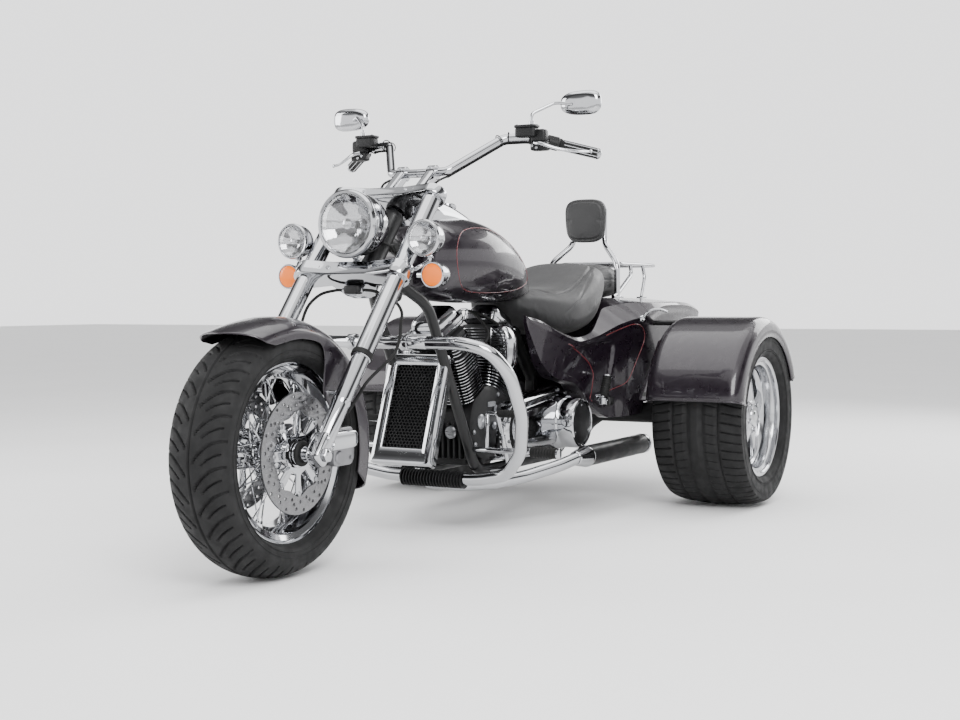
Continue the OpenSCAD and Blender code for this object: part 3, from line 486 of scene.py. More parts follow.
def softLight(name, at, aim, size, power, color=(1, 1, 1)):
    data = bpy.data.lights.new(name, "AREA")
    data.shape, data.size, data.size_y, data.energy, data.color = "RECTANGLE", size[0], size[1], power, color
    lamp = bpy.data.objects.new(name, data)
    lamp.location = at
    lamp.rotation_euler = (Vector(aim) - Vector(at)).to_track_quat("-Z", "Y").to_euler()
    bpy.context.scene.collection.objects.link(lamp)


def makeWorld():
    # pale above, darker towards the horizon, so that bright metal has something to show
    world = bpy.data.worlds.new("studio")
    world.use_nodes = True
    tree = world.node_tree
    back = tree.nodes["Background"]
    where = tree.nodes.new("ShaderNodeTexCoord")
    split = tree.nodes.new("ShaderNodeSeparateXYZ")
    ramp = tree.nodes.new("ShaderNodeValToRGB")
    stops = [(0.0, 0.9), (0.5, 2.1), (0.615, 2.1), (0.64, 0.30), (0.74, 0.10), (0.82, 0.14), (0.87, 0.9)]
    for i, (at, v) in enumerate(stops):
        e = ramp.color_ramp.elements[i] if i < 2 else ramp.color_ramp.elements.new(at)
        e.position, e.color = at, (v, v, v * 1.01, 1)
    half = tree.nodes.new("ShaderNodeMath")
    half.operation = "MULTIPLY_ADD"
    half.inputs[1].default_value = half.inputs[2].default_value = 0.5
    tree.links.new(where.outputs["Generated"], split.inputs[0])
    tree.links.new(split.outputs["Z"], half.inputs[0])
    tree.links.new(half.outputs[0], ramp.inputs["Fac"])
    tree.links.new(ramp.outputs["Color"], back.inputs["Color"])
    back.inputs["Strength"].default_value = 1.0
    bpy.context.scene.world = world


def overhead():
    # a very wide, soft lamp far above, so that the floor is evenly pale
    data = bpy.data.lights.new("overhead", "SUN")
    data.energy, data.angle = 1.7, 1.6
    lamp = bpy.data.objects.new("overhead", data)
    lamp.rotation_euler = (0.15, 0.2, 0)
    bpy.context.scene.collection.objects.link(lamp)


makeCamera()
makeFloor()
makeWorld()
overhead()
softLight("keyLight", (3.2, -3.6, 3.6), (0, -0.3, 0.5), (2.6, 2.6), 300)
softLight("topLight", (0, 0.2, 4.2), (0, 0, 0.5), (3.5, 4.5), 90)
softLight("fillLight", (-3.8, -2.2, 2.2), (0, 0, 0.6), (2.5, 2.5), 120)
softLight("backLight", (1.5, 4.2, 2.6), (0, 0.4, 0.6), (3.0, 2.0), 140)
print("camera, floor and lights made")

# Tyres and wheels

frontTyre = {"radius": 320, "width": 180, "crown": 46, "rim": 233, "depth": 6.0, "pitches": 30}
rearTyre = {"radius": 305, "width": 310, "crown": 26, "rim": 204, "depth": 6.5, "pitches": 60}


def groove(distance, half):
    # 1 in the groove, 0 beyond its wall, with a short slope between
    return np.clip((half - np.abs(distance)) / 1.2 + 0.5, 0, 1)


def tyreShape(size, centre, turns, tread):
    # half profile from crown to bead, mirrored;
    # the tread function gives a groove depth for each (angle, across)
    r, w, crown, rim = size["radius"], size["width"] / 2, size["crown"], size["rim"]
    a = np.linspace(0, np.pi / 2, 34)
    outer = np.stack([r - crown * (1 - np.cos(a)), w * np.sin(a)], 1)
    wall = np.array([[rim + 30, w * 0.992], [rim + 22, w * 0.975], [rim + 19, w * 0.982],
                     [rim + 12, w * 0.95],
                     [rim + 5, w - (18 if size is frontTyre else 12)], [rim + 1, w - 26],
                     [rim - 4, w - 30]])
    half = np.concatenate([outer, wall])
    profile = np.concatenate([half[::-1], half[1:] * [1, -1]])
    across = profile[:, 1]
    angle = np.linspace(0, 2 * np.pi, turns, endpoint=False)[:, None]
    depth = tread(angle, across[None]) * size["depth"]
    onTread = np.clip((profile[:, 0] - (r - crown * 0.93)) / 4, 0, 1)[None]
    radius = profile[None, :, 0] - depth * onTread
    x = np.broadcast_to(across, radius.shape)
    points = np.stack([x, radius * np.sin(angle), radius * np.cos(angle)], -1) + centre
    return sheet(points, True, False)


def frontTread(angle, across):
    # centre groove, and swept grooves that lean back from it and curve towards the shoulder
    pitch = 2 * np.pi / frontTyre["pitches"]
    side = np.sign(across) * 0.25 * pitch
    s = np.abs(across) / 90
    swept = angle + side - 0.34 * s ** 0.8 + 0.10 * s ** 3
    d = ((swept / pitch) % 1 - 0.5) * pitch * 300
    d2 = (((swept + 0.5 * pitch) / pitch) % 1 - 0.5) * pitch * 300
    long = groove(d, 4.4 - 1.8 * s) * (s > 0.12) * (s < 0.97)
    short = groove(d2, 2.2) * (s > 0.36) * (s < 0.88)
    return np.maximum.reduce([long, short, groove(across, 3.4) * np.ones_like(angle)])


def rearTread(angle, across):
    # four ribs round the tyre, shoulder slots and thin sipes
    pitch = 2 * np.pi / rearTyre["pitches"]
    ribs = np.maximum.reduce([groove(across - c, 5.5) for c in (-78, -27, 27, 78)]) * np.ones_like(angle)
    lean = angle + 0.0006 * np.abs(across)
    d = ((lean / pitch) % 1 - 0.5) * pitch * 300
    slots = groove(d, 2.6) * (np.abs(across) > 84)
    sipes = groove(((lean / pitch + 0.5) % 1 - 0.5) * pitch * 300,
                   1.3) * (np.abs(across) > 33) * (np.abs(across) < 72)
    return np.maximum.reduce([ribs, slots, 0.6 * sipes])


frontMid = np.array([0, 0, frontRadius])
wheelbase = (nodeBox("rear_axle")[0][1] + nodeBox("rear_axle")[1][1]) / 2
rearRadius = (nodeBox("rear_axle")[0][2] + nodeBox("rear_axle")[1][2]) / 2
trackHalf = (nodeBox("rear_tyre_left")[0][0] + nodeBox("rear_tyre_left")[1][0]) / 2

rear = np.array([trackHalf, wheelbase, rearRadius])
rearFlip = rear * [-1, 1, 1]
piece("frontTyre", "front_wheel", tyreShape(frontTyre, frontMid, 960, frontTread), tyreLook, 50,
      replaces=["front_tyre"])
for side, name in ((rear, "left"), (rearFlip, "right")):
    piece("rearTyre" + name.title(), "rear_" + name + "_wheel", tyreShape(rearTyre, side, 960, rearTread),
          tyreLook,
          50, replaces=["rear_tyre_" + name])


def wheelRings(centre, radius, x, bead=1.6):
    # thin raised rings round a tyre's side
    return [ringOf(centre + [x, 0, 0], [1, 0, 0], radius, bead, 96, 8),
            ringOf(centre - [x, 0, 0], [1, 0, 0], radius, bead, 96, 8)]


piece("frontTyreRings", "front_wheel",
      join(*wheelRings(frontMid, 262, 89.2), *wheelRings(frontMid, 248, 87.6)), tyreLook)
for side, name in ((rear, "left"), (rearFlip, "right")):
    piece("rearTyreRings" + name.title(), "rear_" + name + "_wheel",
          join(*wheelRings(side, 262, 154), *wheelRings(side, 232, 153), *wheelRings(side, 226, 152.6)),
          tyreLook)

frontWheel = {"rim": 233, "flange": 63, "spokes": 40, "disc": 155, "discX": 88}


def frontRimShape():
    # rim section: rolled lip, drop centre and the curved face the spokes enter
    f, r = frontWheel["flange"], frontWheel["rim"]
    a = np.linspace(0, np.pi, 9)
    lip = np.stack([r - 4 + 4 * np.cos(a - np.pi / 2), f - 4 + 4 * np.sin(a - np.pi / 2)], 1)
    outer = np.array([[r - 8, f - 10], [r - 20, f - 11], [r - 20, f - 28], [r - 38, f - 42], [r - 38, 0]])
    inner = np.array([[r - 45, 0], [r - 45, f - 40], [r - 41, f - 30], [r - 30, f - 18], [r - 25, f - 8],
                      [r - 12, f - 2.5]])
    half = np.concatenate([inner, lip[:, :], outer[:-1]])
    loop = np.concatenate([half, (half[::-1] * [1, -1])])
    return turned(loop, frontMid, [1, 0, 0], 128, True)


def spokeShapes():
    # crossed spokes from the hub's flanges to the rim, each with a nipple
    n = frontWheel["spokes"] // 4
    step, shapes = 2 * np.pi / n, []
    for side in (-1, 1):
        for lead in (0, 1):
            for i in range(n):
                turn = (i + 0.5 * lead + 0.5 * (side + 1) / 2) * step
                out = math.radians(46 if lead == 0 else -46) + turn
                a = frontMid + [side * (26 + 12 * lead), 47 * math.sin(turn), 47 * math.cos(turn)]
                b = frontMid + [side * (6 + 12 * lead), 190 * math.sin(out), 190 * math.cos(out)]
                shapes.append(rod(a, b, 2.2, 0.2, 10))
                shapes.append(rod(b - unit(b - a) * 13, b, 3.6, 0.4, 8))
    return shapes


def discPlate(x):
    # floating rotor: wavy inner edge, rows of drilled holes, carried by spider arms
    a = np.linspace(0, 2 * np.pi, 240, endpoint=False)
    inner = 104 + 5 * np.cos(8 * a)
    loops = [circle(frontWheel["disc"], 128), np.stack([inner * np.cos(a), inner * np.sin(a)], 1)[::-1]]
    for i in range(24):
        for r, shift in ((118, 0), (129, 0.33), (140, 0.66)) if i % 2 else ((123, 0.15), (146, 0.5)):
            t = (i + shift) * 2 * np.pi / 24
            loops.append(circle(4.6, 10, (r * np.cos(t), r * np.sin(t)))[::-1])
    return plate(loops, 5, 0.5, frontMid + [x, 0, 0], [0, 1, 0], [0, 0, 1])


def discCarrier(x):
    # star of eight arms between the hub and the rotor
    a = np.linspace(0, 2 * np.pi, 320, endpoint=False)
    arm = np.clip(np.cos(8 * a) * 1.7 + 0.1, 0, 1)
    r = 52 + 50 * arm
    return plate([np.stack([r * np.cos(a), r * np.sin(a)], 1), circle(36.4, 48)[::-1]], 4.4, 0.6,
                 frontMid + [x, 0, 0], [0, 1, 0], [0, 0, 1])


def frontHubShape():
    a = np.linspace(0, np.pi, 10)
    barrel = [[12.6, 96], [27, 96], [29, 94], [29, 91], [36, 90], [36, 60], [34, 50], [46, 46], [48, 44],
              [48, 20], [46, 17],
              [33, 12], [30, 0]]
    half = np.array(barrel)
    return turned(np.concatenate([half, half[::-1][1:] * [1, -1]]), frontMid, [1, 0, 0], 64)


piece("frontRim", "front_wheel", frontRimShape(), chromeLook, 40, replaces=["front_rim"])
piece("frontSpokes", "front_wheel", join(*spokeShapes()), chromeLook, replaces=["front_spokes"])
piece("frontHub", "front_wheel", frontHubShape(), chromeLook, 30, replaces=["front_hub"])
piece("brakeRotors", "front_wheel", [discPlate(frontWheel["discX"]), discPlate(-frontWheel["discX"])],
      rotorLook, replaces=["front_brake_discs"])
buttons = [rod(frontMid + [s * 84.5, 103 * math.sin(t), 103 * math.cos(t)],
               frontMid + [s * 92.5, 103 * math.sin(t), 103 * math.cos(t)], 6.5, 1)
           for s in (-1, 1) for t in np.arange(8) * np.pi / 4 + np.pi / 2 * 0]
piece("rotorCarriers", "front_wheel", [discCarrier(88), discCarrier(-88)], chromeLook)
seals = [turned([[22, 95], [31, 95.5], [32.5, 98], [32.5, 103], [30, 105], [22, 105]], frontMid, (s, 0, 0),
                56) for s in (-1, 1)]
piece("axleSeals", "front_wheel", join(*seals), rubberLook)
piece("rotorButtons", "front_wheel", join(*buttons), steelLook)


def rearWheelShape():
    # deep dish: stepped lip, barrel, and five tapered spokes that swell into the hub
    w, r = 135, 204
    lip = [[r - 6, -w + 2], [r, -w], [r, -w + 6], [r - 18, -w + 9], [r - 18, -w + 34], [r - 34, -w + 62],
           [r - 34, w - 62],
           [r - 18, w - 34], [r - 18, w - 9], [r, w - 6], [r, w], [r - 5, w + 1.5], [r - 12, w],
           [r - 16, w - 4],
           [r - 17, w - 12], [r - 27, w - 14], [r - 29, w - 18], [r - 31, w - 50], [r - 40, w - 60],
           [r - 42, w - 66],
           [r - 42, w - 90], [r - 38, -w + 60], [r - 24, -w + 26], [r - 12, -w + 4]]
    barrel = turned(lip, rear, [1, 0, 0], 144, True)
    shapes = [barrel]
    t = np.linspace(0, 1, 9)
    for i in range(5):
        a = i * 2 * np.pi / 5
        u = np.array([0, math.sin(a), math.cos(a)])
        v = np.array([0, math.cos(a), -math.sin(a)])
        rings = []
        for k in t:
            half = 34 - 12 * k + 8 * k ** 3
            thick = 20 - 5 * k
            x = w - 52 - 14 * k ** 2
            b = np.linspace(0, 2 * np.pi, 28, endpoint=False)
            c = np.sign(np.cos(b)) * np.abs(np.cos(b)) ** 0.6
            s = np.sign(np.sin(b)) * np.abs(np.sin(b)) ** 0.6
            rings.append(rear + (30 + (r - 72) * k) * u + np.outer(half * c, v) + np.outer(x + thick * s,
                [1, 0, 0]))
        shapes.append(loft(rings))
    hub = [[0, w - 22], [16, w - 22], [20, w - 25], [34, w - 26], [36, w - 30], [54, w - 32], [60, w - 38],
           [62, w - 96], [0, w - 96]]
    shapes.append(turned(hub, rear, [1, 0, 0], 72))
    for i in range(5):
        a = (i + 0.5) * 2 * np.pi / 5
        shapes.append(boltHead(rear + [w - 31.5, 45 * math.sin(a), 45 * math.cos(a)], [1, 0, 0], 8, 9))
    return join(*shapes)


leftWheel = rearWheelShape()
piece("rearWheelLeft", "rear_left_wheel", leftWheel, alloyLook, 32, replaces=["rear_wheel_left"])
piece("rearWheelRight", "rear_right_wheel", flip(leftWheel), alloyLook, 32,
      replaces=["rear_wheel_right"])
print("wheels and tyres made")

# Fork, clamps, axle, brakes

fork = {"x": 149, "top": 910, "lowerClamp": 600, "upperClamp": 890}


def forkLegShapes():
    x = fork["x"]
    base, up = forkPoint(x, 0, 0), forkUp
    tube = [[0, 912], [14, 912], [16, 910], [25.5, 910], [27, 908], [27, 322], [24, 319], [24, 313],
            [26.5, 312], [26.5, 306],
            [23.6, 304], [23.6, 168], [25, 166], [25, 158], [23.8, 155], [24, 150], [24, 30], [20, 22],
            [0, 20]]
    shapes = [turned(tube, base, up, 56)]
    shapes.append(turned([[0, 916], [8, 916], [9, 914], [9, 909]], base, up, 6))
    low, high = np.array([125, -27, -27]), np.array([171, 27, 58])
    foot = softBlock(low, high, 5, 36, 20)
    m = np.stack([[1, 0, 0], forkBack, forkUp])
    shapes.append((foot[0] @ m + [0, 0, frontRadius], foot[1]))
    arm = softBlock([122.5, 20, 2], [150, 188, 50], 5, 32, 18)
    shapes.append((arm[0] + [0, 0, frontRadius], arm[1]))
    for back in (-15, 15):
        shapes.append(boltHead(forkPoint(171, back, 40), [1, 0, 0], 5))
    return join(*shapes)


piece("forkLegs", "front_end", both(forkLegShapes()), chromeLook, 30, replaces=["fork_legs"])
seals = [turned([[25.2, 322], [29, 322], [29.6, 318], [29.6, 308], [28, 306], [25, 306]],
                forkPoint(x, 0, 0), forkUp, 48)
         for x in (-149, 149)]
piece("forkSeals", "front_end", join(*seals), rubberLook)
axleNuts = [turned([[0, 14], [10, 14], [12, 12.5], [17, 11], [19, 9], [19, 0]], frontMid + [s * 171, 0, 0],
                   [s, 0, 0], 6)
            for s in (-1, 1)]
piece("axleNuts", "front_end", join(*axleNuts), chromeLook, 25)


def clampOutline(front, back, half, boss):
    # bar round both legs with a web reaching back to the stem, all corners round
    a = np.linspace(-np.pi * 0.62, np.pi * 0.42, 20)
    right = np.stack([half + boss * np.cos(a), boss * np.sin(a)], 1)
    web = np.array([[75, front * 0.80], [64, back * 0.55], [48, back * 0.86], [26, back]])
    notch = np.array([[0, -front * 0.78], [60, -front * 0.78]])
    side = np.concatenate([notch[1:], right, web])
    return np.concatenate([[notch[0]], side, side[::-1] * [-1, 1]])


def clampPlate(up, thick, front, back, boss):
    return plate([clampOutline(front, back, fork["x"], boss)], thick, 3.5, forkPoint(0, 0, up), [1, 0, 0],
                 forkBack)


def clampBolts(up, front, size):
    return [boltHead(forkPoint(s * x, -front * 0.78, up), -forkBack, size) for s in (-1, 1)
            for x in (100, 70)]


piece("lowerClamp", "front_end", [clampPlate(fork["lowerClamp"], 46, 34, 82, 38), *clampBolts(600, 34, 6),
      turned([[0, 64], [13, 64], [16, 61], [16, 0]], forkPoint(0, 55, 850), forkUp, 40)], chromeLook,
      30,
      replaces=["lower_triple_clamp"])
piece("brakeSplitter", "front_end", softBlock([-26, 372, 722], [26, 402, 748], 5), satinBlack)
piece("stemTube", "front_end", rod(forkPoint(0, 55, 600), forkPoint(0, 55, 914), 16), steelLook)
piece("upperClamp", "front_end", [clampPlate(fork["upperClamp"], 30, 34, 86, 38), *clampBolts(890, 34, 5),
      turned([[0, 24], [12, 24], [15, 22], [19, 16], [20, 14]], forkPoint(0, 55, 891), forkUp, 6)],
      chromeLook, 30,
      replaces=["upper_triple_clamp"])


def caliperShapes():
    # two halves bridged over the rotor, with round piston bosses, bolts and a fin
    shapes = []
    for x0, x1 in ((72, 84), (93.5, 121.5)):
        b = softBlock([x0, 114, -46], [x1, 204, 56], 7, 40, 18)
        shapes.append(b)
    bridge = softBlock([74, 162, -40], [120, 212, 48], 6, 36, 16)
    shapes.append((bridge[0], bridge[1]))
    for z in (-22, 26):
        shapes.append(turned([[0, 4.5], [15, 4.5], [17, 2.5], [18.5, 0]], [121, 136, z], [1, 0, 0], 40))
    for y, z in ((188, -26), (188, 34), (124, 2)):
        shapes.append(boltHead([121, y, z], [1, 0, 0], 5))
    shapes.append(turned([[0, 10], [6, 10], [7, 8], [7, 0]], [104, 150, 55], [0, 0, 1], 6))
    out = join(*shapes)
    return out[0] + frontMid, out[1]


piece("brakeCalipers", "front_end", both(caliperShapes()), castLook, 35,
      replaces=["brake_calipers"])

leftHose = [(26.5, 387, 734), (38, 387, 734), (70, 396, 729), (120, 404, 706), (158, 385, 675),
            (172, 358, 640),
            (176, 345, 600), (172, 322, 560), (160, 285, 530), (140, 240, 490), (118, 215, 440),
            (112, 180, 408),
            (104, 150, 394), (104, 150, 376.4)]
rightHose = [(-26.5, 387, 734), (-38, 387, 734), (-60, 384, 733), (-100, 372, 722), (-128, 352, 690),
             (-136, 330, 640),
             (-132, 300, 580), (-124, 260, 510), (-118, 215, 440), (-112, 180, 408), (-104, 150, 394),
             (-104, 150, 376.4)]


def hoseShapes(points):
    # hose with crimped metal ends
    path = spline(points, 8)
    return sweep(path, 4.3, 14), join(sweep(path[:7], 6.2, 12), sweep(path[-9:], 6.2, 12))


for name, points in (("Left", leftHose), ("Right", rightHose)):
    hose, ends = hoseShapes(points)
    piece("brakeHose" + name, "front_end", hose, rubberLook, replaces=["brake_hoses"])
    piece("hoseEnds" + name, "front_end", ends, chromeLook)

# Front fender: crown swept round the tyre, pointed front lip, side lobes down to the fork

frontFender = {"radius": 346, "half": 100, "from": -21, "to": 106, "tip": 12, "hem": 15, "flare": 20}


def frontFenderShape():
    # angle round the wheel and angle across the section; the side hems drop into a lobe near the fork bolt
    f = frontFender
    n, m = 120, 61
    t = np.linspace(0, 1, n)[:, None]
    s = np.linspace(-1, 1, m)[None]
    first, last = math.radians(f["from"]), math.radians(f["to"])
    tip = math.radians(f["tip"]) * (1 - np.abs(s) ** 1.3)
    notch = math.radians(7) * (1 - np.abs(s) ** 1.5)
    angle = (first - tip) * (1 - t) + (last + notch) * t
    mid = (np.degrees(angle) - 30)
    hem = f["hem"] + 118 * np.exp(-((mid - 12) / 17.0) ** 4) + 26 * np.exp(-((mid - 62) / 40.0) ** 4)
    flat = np.abs(s)
    arc = np.clip(flat / 0.62, 0, 1) * np.pi / 2
    drop = np.clip((flat - 0.62) / 0.38, 0, 1)
    x = np.sign(s) * (f["half"] - 0) * np.sin(arc) ** 0.92
    r = f["radius"] - 42 * (1 - np.cos(arc)) - drop * hem
    r = r + f["flare"] * np.clip((-10 - np.degrees(angle)) / 23, 0, 1) ** 1.6
    points = np.stack([x * np.ones_like(r), r * np.sin(angle), r * np.cos(angle)], -1)
    return sheet(points + frontMid)


piece("frontFender", "front_end", frontFenderShape(), paintLook, 180, wall=3,
      replaces=["front_fender"])
fenderBolts = [boltHead(frontMid + [s * 100, 120, 146], [s, 0, 0], 6) for s in (-1, 1)]
fenderStays = [rod(frontMid + [s * 99, 120, 146], frontMid + [s * 125.7, 120, 146], 8) for s in (-1, 1)]
piece("fenderBolts", "front_end", join(*fenderBolts, *fenderStays), chromeLook)
print("fork and fender made")

# Lamps

headlight = {"at": (0, 350, 916), "radius": 95, "depth": 150}


def lampParts(at, r, depth, facets):
    # bucket turned from its rim to its rounded back, a dished faceted reflector, and a domed lens
    at = np.asarray(at, float)
    back = np.linspace(0, np.pi / 2, 18)
    rim = [[0.86 * r, 0.06 * r], [0.88 * r, 0.0], [0.95 * r, -0.01 * r], [0.995 * r, 0.05 * r],
           [r, 0.12 * r],
           [0.985 * r, 0.24 * r], [0.955 * r, 0.30 * r], [0.96 * r, 0.34 * r]]
    bowl = np.stack([0.955 * r * np.cos(back) ** 0.8, 0.36 * r + (depth - 0.36 * r) * np.sin(back)], 1)
    bucket = turned(np.concatenate([rim, bowl]), at, [0, 1, 0], 96)
    t = np.linspace(0, 1, 26)
    a = np.linspace(0, 2 * np.pi, facets * 6, endpoint=False)
    dish = 0.05 * r + 0.46 * r * (1 - t ** 2)
    wave = 1 + 0.018 * np.abs(np.sin(facets * a / 2))[:,
                                                      None] * np.sin(t * np.pi)[None] * (1 + 0.5
                                                          * np.sign(np.sin(t * 20)))
    radius = (0.86 * r * t)[None] * wave
    reflector = np.stack([radius * np.cos(a)[:, None], np.broadcast_to(dish, radius.shape),
                          radius * np.sin(a)[:, None]], -1)
    lens = [[0.862 * r * v, 0.045 * r - 0.10 * r * math.sqrt(max(1 - v * v, 0))]
            for v in np.sin(np.linspace(0, np.pi / 2, 16))]
    bulb = turned([[0, 0.10 * r], [0.07 * r, 0.12 * r], [0.09 * r, 0.2 * r], [0.09 * r, 0.42 * r]], at,
                  [0, 1, 0], 24)
    shield = turned([[0, 0.06 * r], [0.15 * r, 0.10 * r], [0.16 * r, 0.14 * r]], at, [0, 1, 0], 32)
    return bucket, sheet(reflector + at, True, False), turned(lens, at, [0, 1, 0], 72), join(bulb, shield)


def lampPieces(name, body, places, r, depth, facets, lens, nodeName):
    made = [lampParts(at, r, depth, facets) for at in places]
    piece(name + "Shell", body, join(*[m[0] for m in made]), chromeLook, 40, replaces=[nodeName])
    piece(name + "Reflector", body, join(*[m[1] for m in made]), chromeLook, 20)
    piece(name + "Lens", body, join(*[m[2] for m in made]), lens, 180, wall=0.03 * r)
    piece(name + "Bulb", body, join(*[m[3] for m in made]), chromeLook)


lampPieces("headlight", "front_end", [headlight["at"]], 95, 150, 14, clearLook, "headlight")
lampPieces("spotlight", "front_end", [(217, 399, 874), (-217, 399, 874)], 51, 74, 12, clearLook,
           "spotlights")
lampPieces("turnSignal", "front_end", [(239, 411, 774), (-239, 411, 774)], 36, 74, 10, amberLook,
           "front_turn_signals")
post = sweep(spline([forkPoint(0, -5, 623.5), forkPoint(0, -6, 650), (0, 402, 826), (0, 404, 846)], 6), 12,
             24)
mounts = [rod(forkPoint(-20, -6, 626), forkPoint(20, -6, 626), 9)]
piece("headlightPost", "front_end", join(post, *mounts), chromeLook)
stalk = sweep(spline([(217, 433, 832), (217, 433, 812), (204, 408, 797), (187.4, 408, 790)], 6), 6, 16)
signalStalk = sweep(spline([(221, 441, 774), (208, 430, 774), (187.4, 417, 774)], 6), 8, 16)
nut = boltHead((217, 433, 822), (0, 0, 1), 9, 8)
piece("lampStalks", "front_end", both(join(stalk, signalStalk, nut)), chromeLook)
wires = [spline([(10 * k, 470 - 4 * k, 900 - 8 * k), (14 * k, 505, 880 - 6 * k), (12 * k, 540, 862),
                 (9 * k, 565, 846)], 8)
         for k in (-3, -2, -1, 0, 1, 2, 3)]
piece("headlightWires", "front_end", join(*[sweep(w, 3.2, 10) for w in wires]), rubberLook)
print("lamps made")

# Handlebar, controls, mirrors

barMid = np.array([0, 738, 1082.0])
gripIn, gripOut = np.array([312, 938, 1182.0]), np.array([440, 1048, 1146.0])
barPath = bends([(0, 738, 1082), (96, 742, 1084), (202, 900, 1190), (268, 926, 1192), gripIn, gripOut], 16,
                10)
gripWay = unit(gripOut - gripIn)


def riserShape():
    # flat slanted riser: rounded section carried from the clamp to the bar, with a cap over it
    foot, top = forkPoint(0, 42, 905.3), barMid
    t = np.linspace(0, 1, 10)
    rings = []
    for k in t:
        at = foot * (1 - k) + top * k
        ring = softRing(0, 15, -19 + 2 * k, 19 - 2 * k, 5, 36)
        along, square = unit(top - foot), unit(np.cross([1, 0, 0], top - foot))
        rings.append(at + [52, 0, 0] + np.outer(ring[:, 0], [1, 0, 0]) + np.outer(ring[:, 2], square))
    cap = rod(barMid + [37, 0, 0], barMid + [67, 0, 0], 22, 2.5, 40)
    bolts = [boltHead(barMid + [52, 0, 0] + 19.5 * unit(np.array([0, c, 1])), [0, c, 1], 4.5)
             for c in (-1.1, 1.1)]
    return join(loft(rings), cap, *bolts)


bar = sweep(barPath, 12.7, 28)
piece("handlebarTube", "front_end", both(bar), chromeLook, replaces=["handlebar"])
piece("barRisers", "front_end", both(riserShape()), chromeLook, 32)

grips = {"start": 53, "radius": 16.2, "ribs": 9}


def gripShape():
    # rubber sleeve with flutes round it and a collar at each end
    long = np.linalg.norm(gripOut - gripIn) + 8 - grips["start"]
    u, v = basis(gripWay)
    d = np.linspace(0, 1, 40)
    a = np.linspace(0, 2 * np.pi, 72, endpoint=False)
    body = 15.2 + 1.0 * np.clip(np.sin(grips["ribs"] * a), 0, 1)[None] * (np.sin(d * np.pi) ** 0.3)[:, None]
    body = np.where((d < 0.06)[:, None], 18.5, body)
    at = gripIn + (grips["start"] + d * long)[:, None] * gripWay
    rings = at[:, None] + body[..., None] * (np.cos(a)[:, None] * u + np.sin(a)[:, None] * v)
    return loft(rings)


def gripTrim():
    long = np.linalg.norm(gripOut - gripIn) + 8
    end = gripIn + long * gripWay
    cap = turned([[0, 6], [10, 6], [14, 3.5], [16.6, -1], [17, -6], [15, -9]], end, gripWay, 40)
    u, v = basis(gripWay)
    bars = []
    for k in range(8):
        side = math.cos(k * np.pi / 4) * u + math.sin(k * np.pi / 4) * v
        bars.append(rod(gripIn + 66 * gripWay + 15.4 * side, gripIn + (long - 8) * gripWay + 15.4 * side,
                        1.6, 0.4, 8))
    return join(cap, *bars)


piece("gripSleeves", "front_end", both(gripShape()), rubberLook, 60, replaces=["hand_grips"])
piece("gripTrim", "front_end", both(gripTrim()), chromeLook)


def controlShapes():
    # clamp ring, switch box with push buttons, fluid reservoir with its lid and screws
    ring = rod(gripIn + 16 * gripWay, gripIn + 52 * gripWay, 21, 2.5, 36)
    box = softBlock(gripIn + [-20, -44, -34], gripIn + [34, -8, -6], 6, 32, 14)
    tank = softBlock(gripIn + [-62, -62, 6], gripIn + [4, -24, 36], 7, 32, 14)
    lid = softBlock(gripIn + [-64, -64, 34], gripIn + [6, -22, 43], 8, 32, 12)
    neck = softBlock(gripIn + [-20, -44, -10], gripIn + [30, -12, 30], 5, 28, 12)
    return join(ring, box, tank, lid, neck)


def leverShape():
    # blade that starts at the pivot, reaches out in front of the grip and ends in a ball
    path = spline([gripIn + [-4, -44, -10], gripIn + [22, -50, -16], gripIn + [70, -28, -32],
                   gripIn + [120, 12, -38],
                   gripIn + [150, 30, -38]], 10)
    t = np.linspace(0, 1, len(path))
    r = 6.4 - 2.6 * t + 3.4 * np.exp(-((t - 0.985) / 0.02) ** 2)
    return sweep(path, r, 20, True, 0.62, side=(0, 0.3, 1))


piece("handControls", "front_end", both(controlShapes()), plasticBlack, 40,
      replaces=["hand_controls"])
piece("handLevers", "front_end", both(leverShape()), alloyLook)
knobs = [rod(gripIn + [dx, -44, dz], gripIn + [dx, -49, dz], 4.5, 1, 16) for dx,
         dz in ((-10, -20), (4, -26), (18, -16))]
screws = [rod(gripIn + [dx, dy, 42.5], gripIn + [dx, dy, 45], 3.4, 0.6, 14) for dx,
          dy in ((-56, -56), (-2, -30))]
piece("controlKnobs", "front_end", both(join(*knobs, *screws)), steelLook)

cableSide = np.array([0, 0.547, -0.837])
cableStart = [(84, 655, 1014), (92, 690, 1050)]
barLow = barPath[(barPath[:, 0] > 94) & (barPath[:, 0] < 300)]
cablePath = spline(np.concatenate([cableStart, (barLow + 17.1 * cableSide)[::3]]), 6)
ties = [ringOf(p, unit(q - p), 17.5, 1.6, 28, 8) for p, q in zip(barLow[5::9], barLow[6::9])]
piece("controlCables", "front_end", both(sweep(cablePath, 3.5, 12)), rubberLook,
      replaces=["control_cables"])
piece("cableTies", "front_end", both(join(*ties)), rubberLook)

mirrorAt = np.array([411, 993, 1294.0])


def mirrorHead():
    # tapered oval shell, deepest behind its middle, with a raised rim round the glass
    a = np.linspace(0, 2 * np.pi, 64, endpoint=False)
    c, s = np.cos(a), np.sin(a)
    x = 66 * np.sign(c) * np.abs(c) ** (2 / 3.0)
    z = (36 + 4 * c) * np.sign(s) * np.abs(s) ** (2 / 2.8)
    rows = [(10.6, 0.90), (11.2, 0.95), (11.0, 0.995), (8, 1.0), (2, 0.985), (-4, 0.93), (-8.5, 0.80),
            (-10.5, 0.55), (-11, 0.2)]
    rings = [mirrorAt + np.stack([x * k, np.full(64, y), z * k], 1) for y, k in rows]
    return loft(rings[0:], False), mirrorAt + np.stack([x * 0.905, np.full(64, 10.4), z * 0.905], 1)


